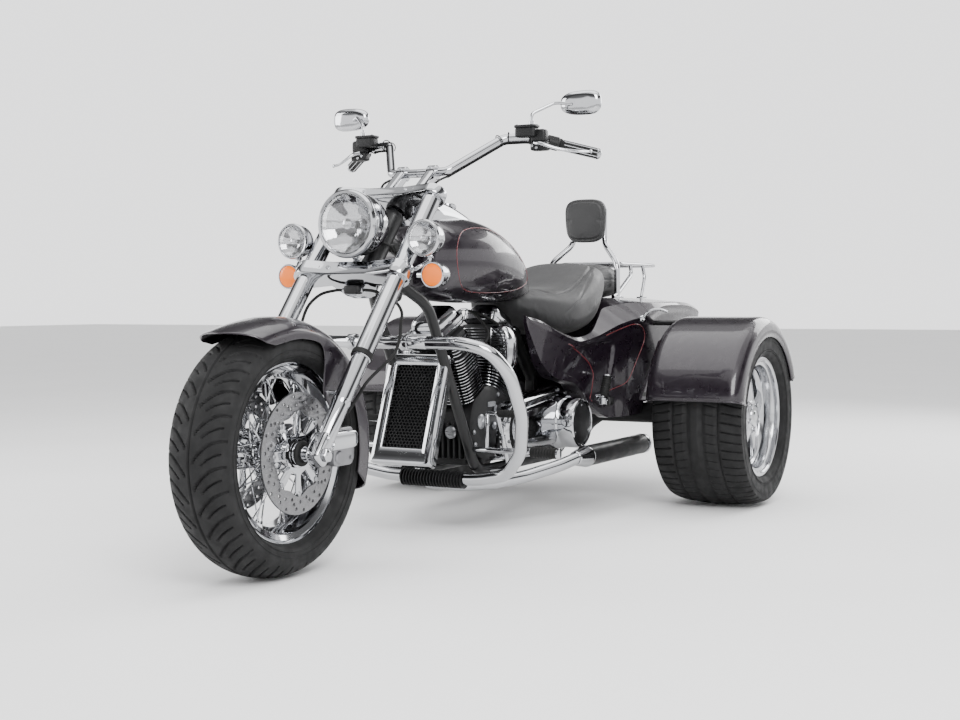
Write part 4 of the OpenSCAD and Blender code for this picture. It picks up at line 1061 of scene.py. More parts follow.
shell, glassRing = mirrorHead()
back = loft([mirrorAt + (glassRing - mirrorAt) * [k, 1, k] for k in (1, 0.6, 0.2, 0.001)], False)
cap = loft([mirrorAt + (glassRing - mirrorAt) * [0.22, 0, 0.22] + [0, -11, 0],
            mirrorAt + (glassRing - mirrorAt) * [0.05, 0, 0.05] + [0, -11.1, 0]])
stem = sweep(bends([gripIn + [-14, -42, 42.4], gripIn + [-14, -42, 76], (352, 944, 1292),
                    mirrorAt + [-22, -10, -4]], 14, 8), 5, 18)
collar = rod(gripIn + [-14, -42, 42.4], gripIn + [-14, -42, 54], 8.5, 1.2, 24)
piece("mirrorShells", "front_end", both(join(shell, cap, stem, collar)), chromeLook, 40,
      replaces=["mirrors"])
mirrorGlass = metalFinish("mirrorGlass", (0.86, 0.88, 0.9), 0.005, 0.02)
piece("mirrorGlass", "front_end", both(back), mirrorGlass)
print("handlebar and mirrors made")


# Engine: two finned cylinders in a V, black with bright fin edges

engine = {"y": 1010, "lean": 25, "spread": 72, "base": 408, "width": 95, "depth": 68, "fins": 15,
          "pitch": 10.2, "fin": 2.4}


def stacked(origin, up, back, half, rows, power=4.2, count=72):
    # superellipse rings across x and the depth direction, each row a grow in mm and a height along up
    a = np.linspace(0, 2 * np.pi, count, endpoint=False)
    u = np.sign(np.cos(a)) * np.abs(np.cos(a)) ** (2 / power)
    v = np.sign(np.sin(a)) * np.abs(np.sin(a)) ** (2 / power)
    grow, high = (np.array(c, float)[:, None, None] for c in zip(*rows))
    x = np.array([1.0, 0, 0])
    return np.asarray(origin) + (half[0] + grow) * u[None, :, None] * x + (half[1] + grow) * v[None, :,
        None] * back + high * up


def cylinderAxes(s):
    lean = math.radians(engine["lean"]) * s
    up = np.array([0, math.sin(lean), math.cos(lean)])
    back = np.array([0, math.cos(lean), -math.sin(lean)])
    return np.array([0, engine["y"] + engine["spread"] * s, engine["base"]], float), up, back


def cylinderShapes(s):
    origin, up, back = cylinderAxes(s)
    half = (engine["width"] - 16, engine["depth"] - 16)
    rows, edges = [(0, 0)], []
    for k in range(engine["fins"] + 5):
        h = 6 + k * engine["pitch"]
        g = 16 if k < engine["fins"] else 5
        f = engine["fin"]
        rows += [(0, h), (g, h + 0.5), (g, h + f), (0, h + f + 0.5)]
        edge = stacked(origin, up, back, half,
                       [(g + 0.5, h + 0.3), (g + 0.5, h + f), (g - 3, h + f + 0.4), (g - 3, h + 0.1)])
        edges.append(sheet(edge, True, True))
    rows += [(0, 219)]
    body = loft(stacked(origin, up, back, half, rows))
    return body, join(*edges)


def rockerShapes(s):
    # angular rocker cover in two tiers with a groove at the gasket line, and bolts
    origin, up, back = cylinderAxes(s)
    lower = loft(stacked(origin, up, back, (60, 87),
                         [(-3, 221), (0, 223), (0, 234), (-2, 236), (-2, 238), (0, 240), (0, 250),
                          (-6, 254)], 7))
    upper = loft(stacked(origin, up, back, (52, 68),
                         [(0, 253), (0, 266), (-4, 277), (-10, 284), (-24, 287)], 6))
    bolts = [boltHead(origin + [x, 0, 0] + y * back + 254 * up, up, 5.5) for x in (-50, 50)
             for y in (-76, 0, 76)]
    return join(lower, upper), join(*bolts)


def hullOutline(circles, count=120):
    # convex outline round circles in (y, z): for each direction the furthest circle's point
    a = np.linspace(0, 2 * np.pi, count, endpoint=False)
    n = np.stack([np.cos(a), np.sin(a)], 1)
    c = np.array([[y, z] for y, z, r in circles], float)
    r = np.array([r for y, z, r in circles], float)
    best = (n @ c.T + r).argmax(1)
    return c[best], r[best], n


def coverShape(circles, rows, count=120):
    # the outline drawn at each (x, inset)
    c, r, n = hullOutline(circles, count)
    x, inset = (np.array(v, float)[:, None] for v in zip(*rows))
    flat = c[None] + (r[None] - inset)[..., None] * n[None]
    return loft(np.concatenate([np.broadcast_to(x[..., None], (len(rows), count, 1)), flat], -1))


engineParts = [cylinderShapes(s) for s in (-1, 1)]
covers = [rockerShapes(s) for s in (-1, 1)]
gearbox = softBlock([-92, 1150, 200], [92, 1440, 400], 9)
crank = [coverShape([(1010, 320, 122)], [(-95, 14), (-88, 4), (88, 4), (95, 14)]),
         coverShape([(1010, 320, 108), (1180, 330, 92)], [(-94, 10), (-88, 0), (88, 0), (94, 10)]),
         gearbox, softBlock([-60, 1150, 392], [60, 1340, 438], 6),
         *[softBlock([-70 + 20 * k, 885, 215], [-62 + 20 * k, 930, 330], 8, 12, 8) for k in range(8)],
         softBlock([-70, 905, 192], [70, 1180, 240], 9),
         *[softBlock([-93, y, 194.4], [93, y + 18, 216], 8) for y in (960, 1350)]]
piece("engineCases", "chassis", join(*[p[0] for p in engineParts], *crank), engineBlack, 38,
      replaces=["crankcase", "cylinders"])
piece("finEdges", "chassis", join(*[p[1] for p in engineParts]), alloyLook, 38)
piece("rockerCovers", "chassis", join(*[c[0] for c in covers]), chromeLook, 30,
      replaces=["rocker_boxes"])
piece("rockerBolts", "chassis", join(*[c[1] for c in covers]), steelLook)

capAt = np.array([96, 948, 330.0])
caseTrim = [turned([[0, 7], [16, 6], [23, 2], [24, -6]], capAt, (1, 0, 0), 40),
            softBlock([95, 992, 372], [97.5, 1042, 388], 8),
            *[boltHead((95, y, z), (1, 0, 0), 5.5) for y, z in ((905, 300), (912, 262), (1062, 408))],
            *[rod((30 * s, 882, 300), (30 * s, 868, 300), 20, 4) for s in (-1, 1)]]
piece("caseTrim", "chassis", join(*caseTrim), steelLook)
tubes = [sweep(bends([(s * 70, 1010 + 30 * k, 410), (s * 88, 1010 + 56 * k, 470),
                      (s * 74, 1010 + 110 * k, 600)], 20), 8.5, 18)
         for k in (-1, 1) for s in (-1,)]
collars = [turned([[8.5, 0], [13, 0], [14, 3], [14, 22], [12, 25], [8.5, 25]], (-70, 1010 + 30 * k, 404),
                  (0, 0, 1), 28) for k in (-1, 1)]
piece("pushRods", "chassis", join(*tubes, *collars), chromeLook)

plugRows = [[(86, 1010 + 86 * k, 560), (118, 1010 + 92 * k, 566), (124, 1010 + 66 * k, 604),
             (70, 1010 + 30 * k, 650), (20, 1010, 672)] for k in (-1, 1)]
piece("plugLeads", "chassis", join(*[sweep(spline(r, 8), 4, 12) for r in plugRows],
                                   *[rod(r[0], np.array(r[0]) + [28, 2, 4], 8, 2) for r in plugRows]),
                                   rubberLook)

hornRows = spline([(104, 488), (150, 488), (168, 494), (175, 520), (177, 560), (173, 590), (160, 615),
                   (140, 627), (104, 626)], 5)


def hornShape():
    # a rounded outline in (x, z) drawn at y, swelling to full size in the middle, with a bulged top
    y = np.array([990, 992, 998, 1018, 1038, 1044, 1046.0])
    inset = np.array([12, 6, 1.5, 0, 1.5, 6, 12.0])
    middle = np.array([136, 555.0])
    away = hornRows - middle
    size = np.linalg.norm(away, axis=1, keepdims=True)
    flat = middle + away * (1 - inset[:, None, None] / size)
    return loft(np.concatenate([flat[..., :1], np.broadcast_to(y[:, None, None], flat[..., :1].shape),
                                flat[..., 1:]], -1))


grillePlace = np.array([135, 989, 556.0])
piece("hornCover", "chassis", hornShape(), chromeLook, 60, replaces=["horn"])
piece("hornGrille", "chassis",
      join(*[softBlock(grillePlace + [-26, -2, z], grillePlace + [26, 2, z + 4], 6, 16, 6)
             for z in range(-54, 50, 9)],
                                    softBlock([96, 1004, 520], [112, 1032, 590], 8)), satinBlack)
print("engine made")

# Side covers: primary drive, derby disc, timing cover, air cleaner

primary = coverShape([(1080, 296, 92), (1362, 306, 111)],
                     [(95, 2), (112, 0), (150, 0), (158, 3), (163, 9), (165, 16)])
bulge = coverShape([(1100, 300, 62), (1290, 306, 74)], [(164, 0), (176, 2), (184, 8), (188, 18), (190, 30)])
shoulder = coverShape([(1366, 304, 94)], [(160, 0), (174, 3), (184, 6), (190, 8), (194, 10)])
screws = [boltHead((164, y + 82 * math.cos(a) * 1.0, 300 + 82 * math.sin(a)), (1, 0, 0), 4.4)
          for y in (1080,) for a in np.radians([70, 115, 160, 205, 250, 290])]
screws += [boltHead((164, 1362 + 103 * math.cos(a), 306 + 103 * math.sin(a)), (1, 0, 0), 4.4)
           for a in np.radians([95, 60, 25, -15, -50, -90])]
piece("primaryCover", "chassis", join(primary, bulge, shoulder), chromeLook, 28,
      replaces=["primary_cover"])
piece("primaryScrews", "chassis", join(*screws), steelLook)
derbyAt = np.array([0, 1366, 300.0])
piece("derbyRim", "chassis",
      turned([[82.5, 194], [82.5, 240], [80, 246], [74, 249], [71, 247], [70, 238], [0, 238]], derbyAt,
             (1, 0, 0), 96), chromeLook)
piece("derbyFace", "chassis", turned([[70, 240], [69, 243], [60, 244.5], [0, 246]], derbyAt, (1, 0, 0), 72),
      satinBlack)
piece("derbyScrews", "chassis",
      join(*[boltHead(derbyAt + [243, 58 * math.cos(a), 58 * math.sin(a)], (1, 0, 0), 4)
             for a in np.radians([90, 210, 330])]), chromeLook)
timing = [coverShape([(996, 300, 70), (1120, 310, 60)],
                     [(-95, 0), (-120, 0), (-130, 4), (-134, 14), (-135, 30)]),
          turned([[52, 132], [52, 146], [48, 152], [40, 155], [0, 155]], (0, 996, 300), (-1, 0, 0), 64)]
piece("timingCover", "chassis", join(*timing), chromeLook, 30, replaces=["timing_cover"])
airAt = np.array([0, 1010, 535.0])
air = [turned([[60, 101], [88, 104], [92, 112], [92, 160], [88, 168], [76, 173], [60, 175], [58, 172],
               [0, 172]], airAt, (-1, 0, 0), 96)]
piece("airCleaner", "chassis", join(*air), chromeLook, replaces=["air_cleaner"])
piece("airFilter", "chassis",
      join(*[ringOf(airAt + [-x, 0, 0], (1, 0, 0), 91.5, 1.2, 72, 8) for x in range(118, 158, 6)],
                                   turned([[57, 172], [54, 176], [0, 178]], airAt, (-1, 0, 0), 64)),
                                   satinBlack)
print("covers made")

# Radiator: bright frame round a black honeycomb

radiator = {"at": (0, 690, 382), "tilt": math.atan(118 / 316), "width": 200, "tall": 337, "side": 31,
            "top": 34, "bottom": 48, "cell": 11.5}


def onRadiator(x, y, z):
    t = radiator["tilt"]
    return np.stack([x + 0 * y, radiator["at"][1] + y * math.cos(t) + z * math.sin(t),
                     radiator["at"][2] - y * math.sin(t) + z * math.cos(t)], -1)


def turnRadiator(shape):
    p = shape[0]
    return onRadiator(p[:, 0], p[:, 1], p[:, 2]), shape[1]


def windowFrame():
    # rounded rectangle section carried round the window, as rings between an outer and an inner outline
    w, h = radiator["width"] / 2, radiator["tall"] / 2
    outer = np.array([[-w, -h], [w, -h], [w, h], [-w, h]])
    inner = np.array([[-w + radiator["side"], -h + radiator["bottom"]],
                      [w - radiator["side"], -h + radiator["bottom"]],
                      [w - radiator["side"], h - radiator["top"]],
                      [-w + radiator["side"], h - radiator["top"]]])
    rows = []
    for mix, y in ((0, 30), (0, -8), (0.06, -13), (0.14, -14), (0.86, -14), (0.95, -12), (1, -7), (1, 2),
                   (1, 30)):
        line = outer * (1 - mix) + inner * mix
        k = np.linspace(0, 1, 13)[:-1, None]
        r = 9 if mix < 0.5 else 4
        corners = []
        for i in range(4):
            p, before, after = line[i], line[i - 1], line[(i + 1) % 4]
            a, b = p + r * unit(before - p), p + r * unit(after - p)
            corners.append((1 - k) ** 2 * a + 2 * k * (1 - k) * p + k * k * b)
        flat = np.concatenate(corners)
        rows.append(np.stack([flat[:, 0], np.full(len(flat), float(y)), flat[:, 1]], 1))
    return turnRadiator(sheet(np.array(rows), False, True))


def honeycomb():
    # hexagon walls repeated over the window in staggered rows
    c = radiator["cell"]
    w, h = radiator["width"] / 2 - radiator["side"] + 4, radiator["tall"] / 2
    x, z = np.meshgrid(np.arange(-w + 4, w, c),
                       np.arange(-h + radiator["bottom"] - 2, h - radiator["top"] + 4, c * 0.82),
                       indexing="ij")
    x = x + (np.arange(x.shape[1]) % 2)[None] * c / 2
    at = np.stack([x.ravel(), z.ravel()], 1)
    a = np.radians(np.arange(30, 390, 60))
    ring = np.stack([np.cos(a), np.sin(a)], 1) * c * 0.56
    inner = ring * 0.80
    rows = [(inner, 3.0), (inner, -4.0), (ring, -4.0), (ring, 3.0)]
    pts = np.stack([np.concatenate([at[:, None, :1] + r[None, :, :1], np.full((len(at), 6, 1), y),
                                    at[:, None, 1:] + r[None, :, 1:]], -1) for r, y in rows], 1)
    quads = gridQuads(4, 6, True, True)
    faces = (np.arange(len(at))[:, None, None] * 24 + quads[None]).reshape(-1, 4)
    return turnRadiator((pts.reshape(-1, 3), faces))


tubesBack = [softBlock([-68, 14, z], [68, 40, z + 3], 6, 12, 6) for z in np.arange(-118, 132, 9)]
core = [softBlock([-72, 16, -122], [72, 46, 136], 10)]
piece("radiatorFrame", "chassis", windowFrame(), chromeLook, 40, wall=-1.5,
      replaces=["radiator_shroud"])
piece("radiatorGrille", "chassis", honeycomb(), satinBlack, 30)
piece("radiatorCore", "chassis", join(*[turnRadiator(s) for s in core + tubesBack]), engineBlack,
      replaces=["radiator"])
ears = [turnRadiator(softBlock([s * 84 - 12, 8, z - 16], [s * 84 + 12, 44, z + 16], 8)) for s in (-1, 1)
        for z in (-120, 120)]
piece("radiatorEars", "chassis", join(*ears), satinBlack)
finRing = [[18, -111.7]]
for k in range(21):
    x = -106 + k * 10.6
    finRing += [[18, x - 1.4], [26, x - 1.2], [26, x + 1.2], [18, x + 1.4]]
piece("regulator", "chassis", turned(finRing + [[18, 111.7], [0, 111.7]], (0, 822, 162), (1, 0, 0), 40),
      engineBlack,
      replaces=["voltage_regulator"])
print("radiator made")

# Frame, guard, exhaust and foot controls: tubes on their centre lines


def stemPoint(s):
    return np.array([0, 42.1 + 0.643 * s, 284.6 + 0.766 * s])


downtube = [stemPoint(669) + [20, 22, -6], (90, 640, 690), (90, 910, 198), (90, 950, 178), (90, 1485, 178),
            (90, 1585, 232), (90, 1585, 341)]
backbone = [stemPoint(769) + [0, 20, 0], (0, 700, 830), (0, 1180, 765), (0, 1310, 700), (0, 1350, 590),
            (0, 1485, 440)]
rails = both(sweep(bends(downtube, 40), 16, 24))
neck = turned([[17, 629], [29, 629], [30.5, 634], [30.5, 646], [29, 650], [29, 848], [30.5, 852],
               [30.5, 864], [29, 869], [17, 869]],
              forkPoint(0, 55, 0), forkUp, 48)
blocks = [softBlock([-90, y, 166], [90, y + 30, 190], 8) for y in (1330, 1470)]
post = softBlock([-18, 1467, 178], [18, 1499, 456], 8)
gussets = [softBlock([-9, 560, 700], [9, 640, 812], 4)]
piece("frameTubes", "chassis",
      join(rails, sweep(bends(backbone, 50), 22, 28), neck, *blocks, post, *gussets), satinBlack,
      35, replaces=["frame"])

guardLine = [(160, 520, 586), (270, 520, 586), (345, 540, 566), (384, 590, 496), (380, 670, 376),
             (336, 748, 262), (258, 806, 186), (150, 820, 166), (112, 820, 166)]
guardTube = sweep(bends(guardLine, 38, 10), 19, 30)
topBar = rod((-162, 520, 586), (162, 520, 586), 19, 1, 30)
guardParts = [both(guardTube), topBar]
piece("engineGuard", "chassis", join(*guardParts), chromeLook, 45, replaces=["engine_guard"])
clampsAt = [softBlock([s * 90 - 10, 535, 574], [s * 90 + 10, 675, 592], 8) for s in (-1, 1)]
guardClamps = [turned([[19.5, -12], [23, -12], [24, -10], [24, 10], [23, 12], [19.5, 12]],
                      (s * 90, 520, 586), (1, 0, 0), 40) for s in (-1, 1)]
piece("guardClamps", "chassis", join(*clampsAt, *guardClamps), chromeLook)

leftPipe = [(-160, 1030, 190), (-120, 970, 145), (-60, 900, 138), (60, 890, 138), (140, 950, 142),
            (190, 1060, 152), (262, 1160, 180), (289, 1227, 198)]
rightPipe = [(-83.4, 857, 581), (-150, 857, 581), (-182, 870, 470), (-184, 950, 340), (-186, 990, 230),
             (-200, 1070, 166), (-250, 1160, 176), (-289, 1227, 198)]
rearPipe = [(-83.4, 1130, 592), (-128, 1130, 592), (-165, 1130, 530), (-185, 1125, 430), (-196, 1125, 330),
            (-216, 1150, 230), (-260, 1180, 184)]
pipes = [sweep(bends(leftPipe, 24), 20, 28), sweep(bends(rightPipe, 24), 20, 28),
         sweep(bends(rearPipe, 24), 19, 28)]
cones = [turned([[20, -6], [22.5, -4], [23.5, 0], [34.3, 66], [35.2, 70], [35.2, 78], [34.2, 80]],
                (s * 289, 1225, 198), (0, 1, 0), 56) for s in (-1, 1)]
tips = [turned([[34.2, 535], [35, 537], [35, 560], [31, 575], [28, 575], [27.5, 560], [27.5, 520],
                [0, 520]], (s * 289, 1225, 198), (0, 1, 0), 56) for s in (-1, 1)]
cans = [turned([[34, 76], [34, 540]], (s * 289, 1225, 198), (0, 1, 0), 56) for s in (-1, 1)]
piece("exhaustPipes", "chassis", join(*pipes, *cones), chromeLook, 40, replaces=["exhaust"])
piece("mufflerCans", "chassis", join(*cans), satinBlack)
piece("mufflerTips", "chassis", join(*tips), chromeLook)

pegRows = [[9, 299], [15, 300]]
for k in range(9):
    x = 303 + k * 9.4
    pegRows += [[15, x], [17, x + 1.2], [17, x + 5.6], [15, x + 6.8]]
foot = [turned(pegRows + [[15, 388]], (0, 888, 250), (1, 0, 0), 40)]
ends = [turned([[15, 386], [17.2, 387], [17.2, 393], [14, 395], [0, 395]], (0, 888, 250), (1, 0, 0), 40),
        rod((106, 884, 250), (302, 884, 250), 9), softBlock([286, 876, 238], [302, 900, 262], 5)]
piece("footPegs", "chassis", both(join(*foot)), rubberLook, 60, replaces=["foot_controls"])
toeLine = [(150, 890, 362), (185, 888, 362), (185, 960, 196), (150, 985, 182), (107, 990, 178)]
toeArm = [sweep(bends(toeLine, 10), 7, 18), rod((186, 889, 362), (197, 889, 362), 7)]
brakeArm = [sweep(bends([(-140, 884, 250), (-150, 850, 330), (-250, 850, 335)], 16), 8, 18)]
brakePad = [softBlock([-256, 838, 328], [-206, 862, 348], 5)]
piece("footControlsBright", "chassis", join(both(join(*ends)), *toeArm, *brakeArm,
      rod((150, 890, 362), (150, 884, 250), 6), rod((120, 960, 215), (180, 968, 222), 6)), chromeLook,
      45)
toeRows = [[7, 184]] + [[r, 190 + 8 * k + d] for k in range(9) for r,
                        d in ((10.4, 0), (12, 1.2), (12, 4.6), (10.4, 5.8))] + [[0, 262]]
piece("toePegs", "chassis", join(turned(toeRows, (0, 889, 362), (1, 0, 0), 28), *brakePad), rubberLook,
      60)

rearPeg = [[15.6, 0]] + [[r, 4 + 8.5 * k + d] for k in range(8) for r,
                         d in ((13.8, 0), (15.8, 1.2), (15.8, 5.2), (13.8, 6.4))] + [[13, 76]]
piece("passengerPegs", "chassis", both(turned(rearPeg, (264, 1498, 376), (0, 0.48, 0.88), 32)), rubberLook,
      60, )
pegBits = [turned([[12, 74], [16, 75], [16, 80], [12, 83], [0, 83]], (264, 1498, 376), (0, 0.48, 0.88), 32),
           rod((264, 1498, 352), (264, 1498, 378), 14, 3),
           softBlock([234.5, 1487, 366], [272, 1509, 388], 5), rod((250, 1498, 360), (280, 1498, 360), 8)]
piece("pegHinges", "chassis", both(join(*pegBits)), chromeLook)
print("tubes made")


# Tank, console and pinstripes


def shapedRings(rows, power, count=96, steps=8):
    # smooth rows of y, half width, low, high, each a superellipse across the vehicle
    y, w, low, high = spline(rows, steps).T[..., None]
    a = np.linspace(0, 2 * np.pi, count, endpoint=False)[None]
    u = np.sign(np.cos(a)) * np.abs(np.cos(a)) ** (2 / power)
    v = np.sign(np.sin(a)) * np.abs(np.sin(a)) ** (2 / power)
    return np.stack([w * u, y + 0 * u, (low + high) / 2 + (high - low) / 2 * v], -1)


def sideOf(rows, power, y, z):
    # half width of that shape at a place on its side: w (1 - |h|^p)^(1/p), h from -1 at low to 1 at high
    r = spline(rows, 8)
    w, low, high = (np.interp(y, r[:, 0], r[:, i]) for i in (1, 2, 3))
    h = np.clip(np.abs((z - (low + high) / 2) / ((high - low) / 2)), 0, 1)
    return w * (1 - h ** power) ** (1 / power)


tank = {"front": 676, "long": 704, "half": 168, "power": 2.3}
tankRows = [(tank["front"] + t * tank["long"], w * tank["half"], low, high) for t, w, low, high in
            ((0, .5, 748, 912), (.02, .6, 734, 926), (.1, .8, 712, 948), (.33, 1, 698, 958),
             (.515, .97, 696, 938),
             (.688, .84, 696, 886), (.807, .66, 697, 838), (.889, .5, 699, 792), (1, .24, 702, 742))]
tankRows = [r if i else (r[0], r[1] * 0.98, r[2] + 2, r[3] - 2) for i, r in enumerate(tankRows)]
piece("fuelTank", "chassis", loft(shapedRings(tankRows, tank["power"])), paintLook, 60,
      replaces=["fuel_tank"])
consoleRows = [(690, 38, 870, 996), (760, 52, 870, 1010), (850, 56, 880, 1000), (950, 50, 890, 976),
               (1040, 30, 900, 955)]
piece("tankConsole", "chassis", loft(shapedRings(consoleRows, 3)), chromeLook, 60,
      replaces=["tank_console"])
gaugeUp = unit([0, 0.14, 1])
gauge = [turned([[38, -6], [40, 0], [40, 5], [37, 7.5], [34, 6], [33, 3]], (0, 812, 1001), gaugeUp, 64)]
piece("gaugeRim", "chassis", join(*gauge), chromeLook)
piece("gaugeFace", "chassis", turned([[34, 3], [0, 3]], (0, 812, 1001), gaugeUp, 48), satinBlack)
ticks = [rod(np.array([0, 812, 1001]) + 3.3 * gaugeUp + (24 if k % 2
    else 27) * np.array([math.cos(a), math.sin(a), -0.14 * math.sin(a)]),
             np.array([0, 812, 1001]) + 3.3 * gaugeUp + 31 * np.array([math.cos(a), math.sin(a),
                 -0.14 * math.sin(a)]), 0.7, count=6)
         for k, a in enumerate(np.radians(np.arange(-30, 211, 20)))]
piece("gaugeMarks", "chassis",
      join(*ticks, sweep(np.array([(0, 812, 1001) + 4.2 * gaugeUp, (18, 826, 1001) + 4.0 * gaugeUp]), 1.1,
                         8)), alloyLook)
capBase = np.array([0, 905, 987.0])
piece("fuelCap", "chassis",
      turned([[27, -8], [28, 0], [30, 2], [30, 10], [27, 13], [12, 15], [0, 15.5]], capBase,
             unit([0, 0.2, 1]), 48), chromeLook)


def loopPath(points, steps=14):
    # closed smooth outline in (y, z)
    p = np.array(points, float)
    return spline(np.concatenate([p, p[:3]]), steps)[steps:steps * (len(p) + 1) + 1]


tankLoop = loopPath([(742, 860), (800, 912), (930, 922), (1060, 884), (1160, 822), (1200, 770), (1120, 738),
                     (960, 728), (820, 736), (752, 784)])
line = np.stack([sideOf(tankRows, tank["power"], tankLoop[:, 0], tankLoop[:, 1]) - 0.2, tankLoop[:, 0],
                 tankLoop[:, 1]], 1)
piece("tankStripes", "chassis", both(sweep(line, 1.2, 8)), stripeLook, 180)
print("tank made")

# Cushions: swollen by cloth simulation, then their seams are pressed in

seatRows = [(-600, 70, 690, 716), (-585, 100, 664, 734), (-520, 134, 632, 742), (-430, 168, 598, 745),
            (-330, 188, 586, 756),
            (-240, 192, 590, 786), (-160, 186, 618, 822), (-90, 170, 676, 838), (-40, 150, 716, 826),
            (-24, 136, 722, 806)]
pillionRows = [(-23.6, 108, 720.4, 816), (0, 120, 712.4, 828), (60, 122, 712.4, 838),
               (140, 120, 712.4, 836), (200, 108, 712.4, 822), (226, 90, 718.4, 800)]


def rowsAt(rows, shift, grow=0.0):
    return [(y + shift, w + grow, low - grow, high + grow) for y, w, low, high in rows]


def cushion(name, shape, node, cap, seams, voxel=6.0, pressure=4.0):
    # base shape drawn in a little, remeshed, blown up as cloth, held to a cap, smoothed,
    # then the seams pressed in
    base = piece(name + "Base", "chassis", shape, vinylLook, 180)
    mod = base.modifiers.new("even", "REMESH")
    mod.mode, mod.voxel_size = "VOXEL", voxel / 1000
    mesh = bpy.data.meshes.new_from_object(base.evaluated_get(bpy.context.evaluated_depsgraph_get()))
    mesh.name = name
    bpy.data.objects.remove(base)
    obj = bpy.data.objects.new(name, mesh)
    bpy.context.scene.collection.objects.link(obj)
    count = len(mesh.vertices) * 3
    before = np.zeros(count)
    mesh.vertices.foreach_get("co", before)
    before = before.reshape(-1, 3)
    cloth = obj.modifiers.new("cloth", "CLOTH")
    s = cloth.settings
    s.quality, s.mass, s.use_pressure, s.uniform_pressure_force = 4, 0.3, True, pressure
    s.tension_stiffness = s.compression_stiffness = s.shear_stiffness = 18
    s.bending_stiffness = 3
    s.effector_weights.gravity = 0
    cloth.point_cache.frame_start, cloth.point_cache.frame_end = 1, 20
    for f in range(1, 21):
        bpy.context.scene.frame_set(f)
    after = np.zeros(count)
    done = obj.evaluated_get(bpy.context.evaluated_depsgraph_get()).to_mesh()
    done.vertices.foreach_get("co", after)
    move = after.reshape(-1, 3) - before
    size = np.linalg.norm(move, axis=1, keepdims=True)
    before = before + move * np.minimum(1, cap / 1000 / np.maximum(size, 1e-9))
    obj.modifiers.clear()
    bpy.context.scene.frame_set(1)
    mesh.vertices.foreach_set("co", before.ravel())
    smooth = obj.modifiers.new("smooth", "SUBSURF")
    smooth.levels = 1
    dense = bpy.data.meshes.new_from_object(obj.evaluated_get(bpy.context.evaluated_depsgraph_get()))
    obj.modifiers.clear()
    obj.data = dense
    dense.name = name
    co, normal = (np.zeros(len(dense.vertices) * 3) for i in range(2))
    dense.vertices.foreach_get("co", co)
    dense.vertices.foreach_get("normal", normal)
    co, normal = co.reshape(-1, 3), normal.reshape(-1, 3)
    depth = seams((co - start) * 1000, normal)
    dense.vertices.foreach_set("co", (co - normal * depth[:, None] / 1000).ravel())
    dense.shade_smooth()
    dense.materials.clear()
    dense.materials.append(vinylLook)
    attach(obj, "chassis")
    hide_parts(node)
    return obj


def pressed(distance, width, depth):
    # a seam's groove with a small roll on both sides of it
    d = distance / width
    return depth * np.exp(-d * d) - depth * 0.28 * np.exp(-(np.abs(d) - 2.1) ** 2)


def seatSeams(p, n):
    x, y, z = p[:, 0], p[:, 1] - wheelbase, p[:, 2]
    u, v = np.abs(x) / 138, np.abs(y + 270) / 206
    panel = ((u ** 4 + v ** 4) ** 0.25 - 1) * 150
    top = np.clip((n[:, 2] - 0.05) * 3, 0, 1)
    side = (z - (700 + 0.55 * (y + 330))) * 0.88
    low = np.clip((np.abs(n[:, 0]) - 0.45) * 3, 0, 1) * np.clip((y + 420) / 60, 0,
        1) * np.clip((-80 - y) / 50, 0, 1)
    dish = 7 * np.exp(-((y + 300) / 120) ** 2 - (x / 110) ** 2) * np.clip(n[:, 2], 0, 1)
    return pressed(panel, 4.6, 3.6) * top + pressed(side, 3.2, 2.0) * low + dish


def pillionSeams(p, n):
    x, y, z = np.abs(p[:, 0]), p[:, 1] - wheelbase, p[:, 2]
    edge = ((x / 96) ** 4 + (np.abs(y - 100) / 104) ** 4) ** 0.25 - 1
    return pressed(edge * 95, 4.2, 3.0) * np.clip((n[:, 2] - 0.1) * 3, 0, 1) + pressed(z - 778, 3.4,
        1.6) * np.clip((0.5 - n[:, 2]) * 4, 0, 1)


backrest = {"front": 1913, "back": 1957, "low": 914, "high": 1079, "half": 88}


def backrestShape():
    # upright pad: outline |x/w|^3.6 + |z/h|^3.6 = 1 with w narrower towards the foot,
    # grown and shrunk through its thickness
    a = np.linspace(0, 2 * np.pi, 96, endpoint=False)
    u = np.sign(np.cos(a)) * np.abs(np.cos(a)) ** (2 / 3.6)
    v = np.sign(np.sin(a)) * np.abs(np.sin(a)) ** (2 / 3.6)
    t = np.linspace(-1, 1, 13)[:, None]
    k = (1 - np.abs(t) ** 3.4) ** (1 / 3.4) * 0.28 + 0.72
    half = (backrest["half"] - 4 - 5 * (1 - v)[None]) * k
    mid, tall = (backrest["low"] + backrest["high"]) / 2, (backrest["high"] - backrest["low"]) / 2 - 3
    y = (backrest["front"] + backrest["back"]) / 2 + t * 17
    return loft(np.stack([half * u, y + 0 * u[None], mid + tall * k * v[None]], -1))


def backrestSeams(p, n):
    x, z = np.abs(p[:, 0]) / 74, np.abs(p[:, 2] - 997) / 70
    welt = pressed(p[:, 1] - 1936, 2.6, 1.8) * (np.abs(n[:, 1]) < 0.6)
    return pressed(((x ** 3.6 + z ** 3.6) ** (1 / 3.6) - 1) * 72, 3.4, 2.2) * (n[:, 1] < -0.3) + welt


seatShape = loft(shapedRings(rowsAt(seatRows, wheelbase, -4.5), 3.2, 96, 6))
cushion("saddle", seatShape, "seat", 5, seatSeams)
cushion("pillionPad", loft(shapedRings(rowsAt(pillionRows, wheelbase, -3.5), 3.2, 96, 6)), "pillion_seat",
        4, pillionSeams, 5.0)
cushion("backrestPad", backrestShape(), "backrest_pad", 4, backrestSeams, 4.0)
print("cushions made")

# Sissy bar and luggage rack

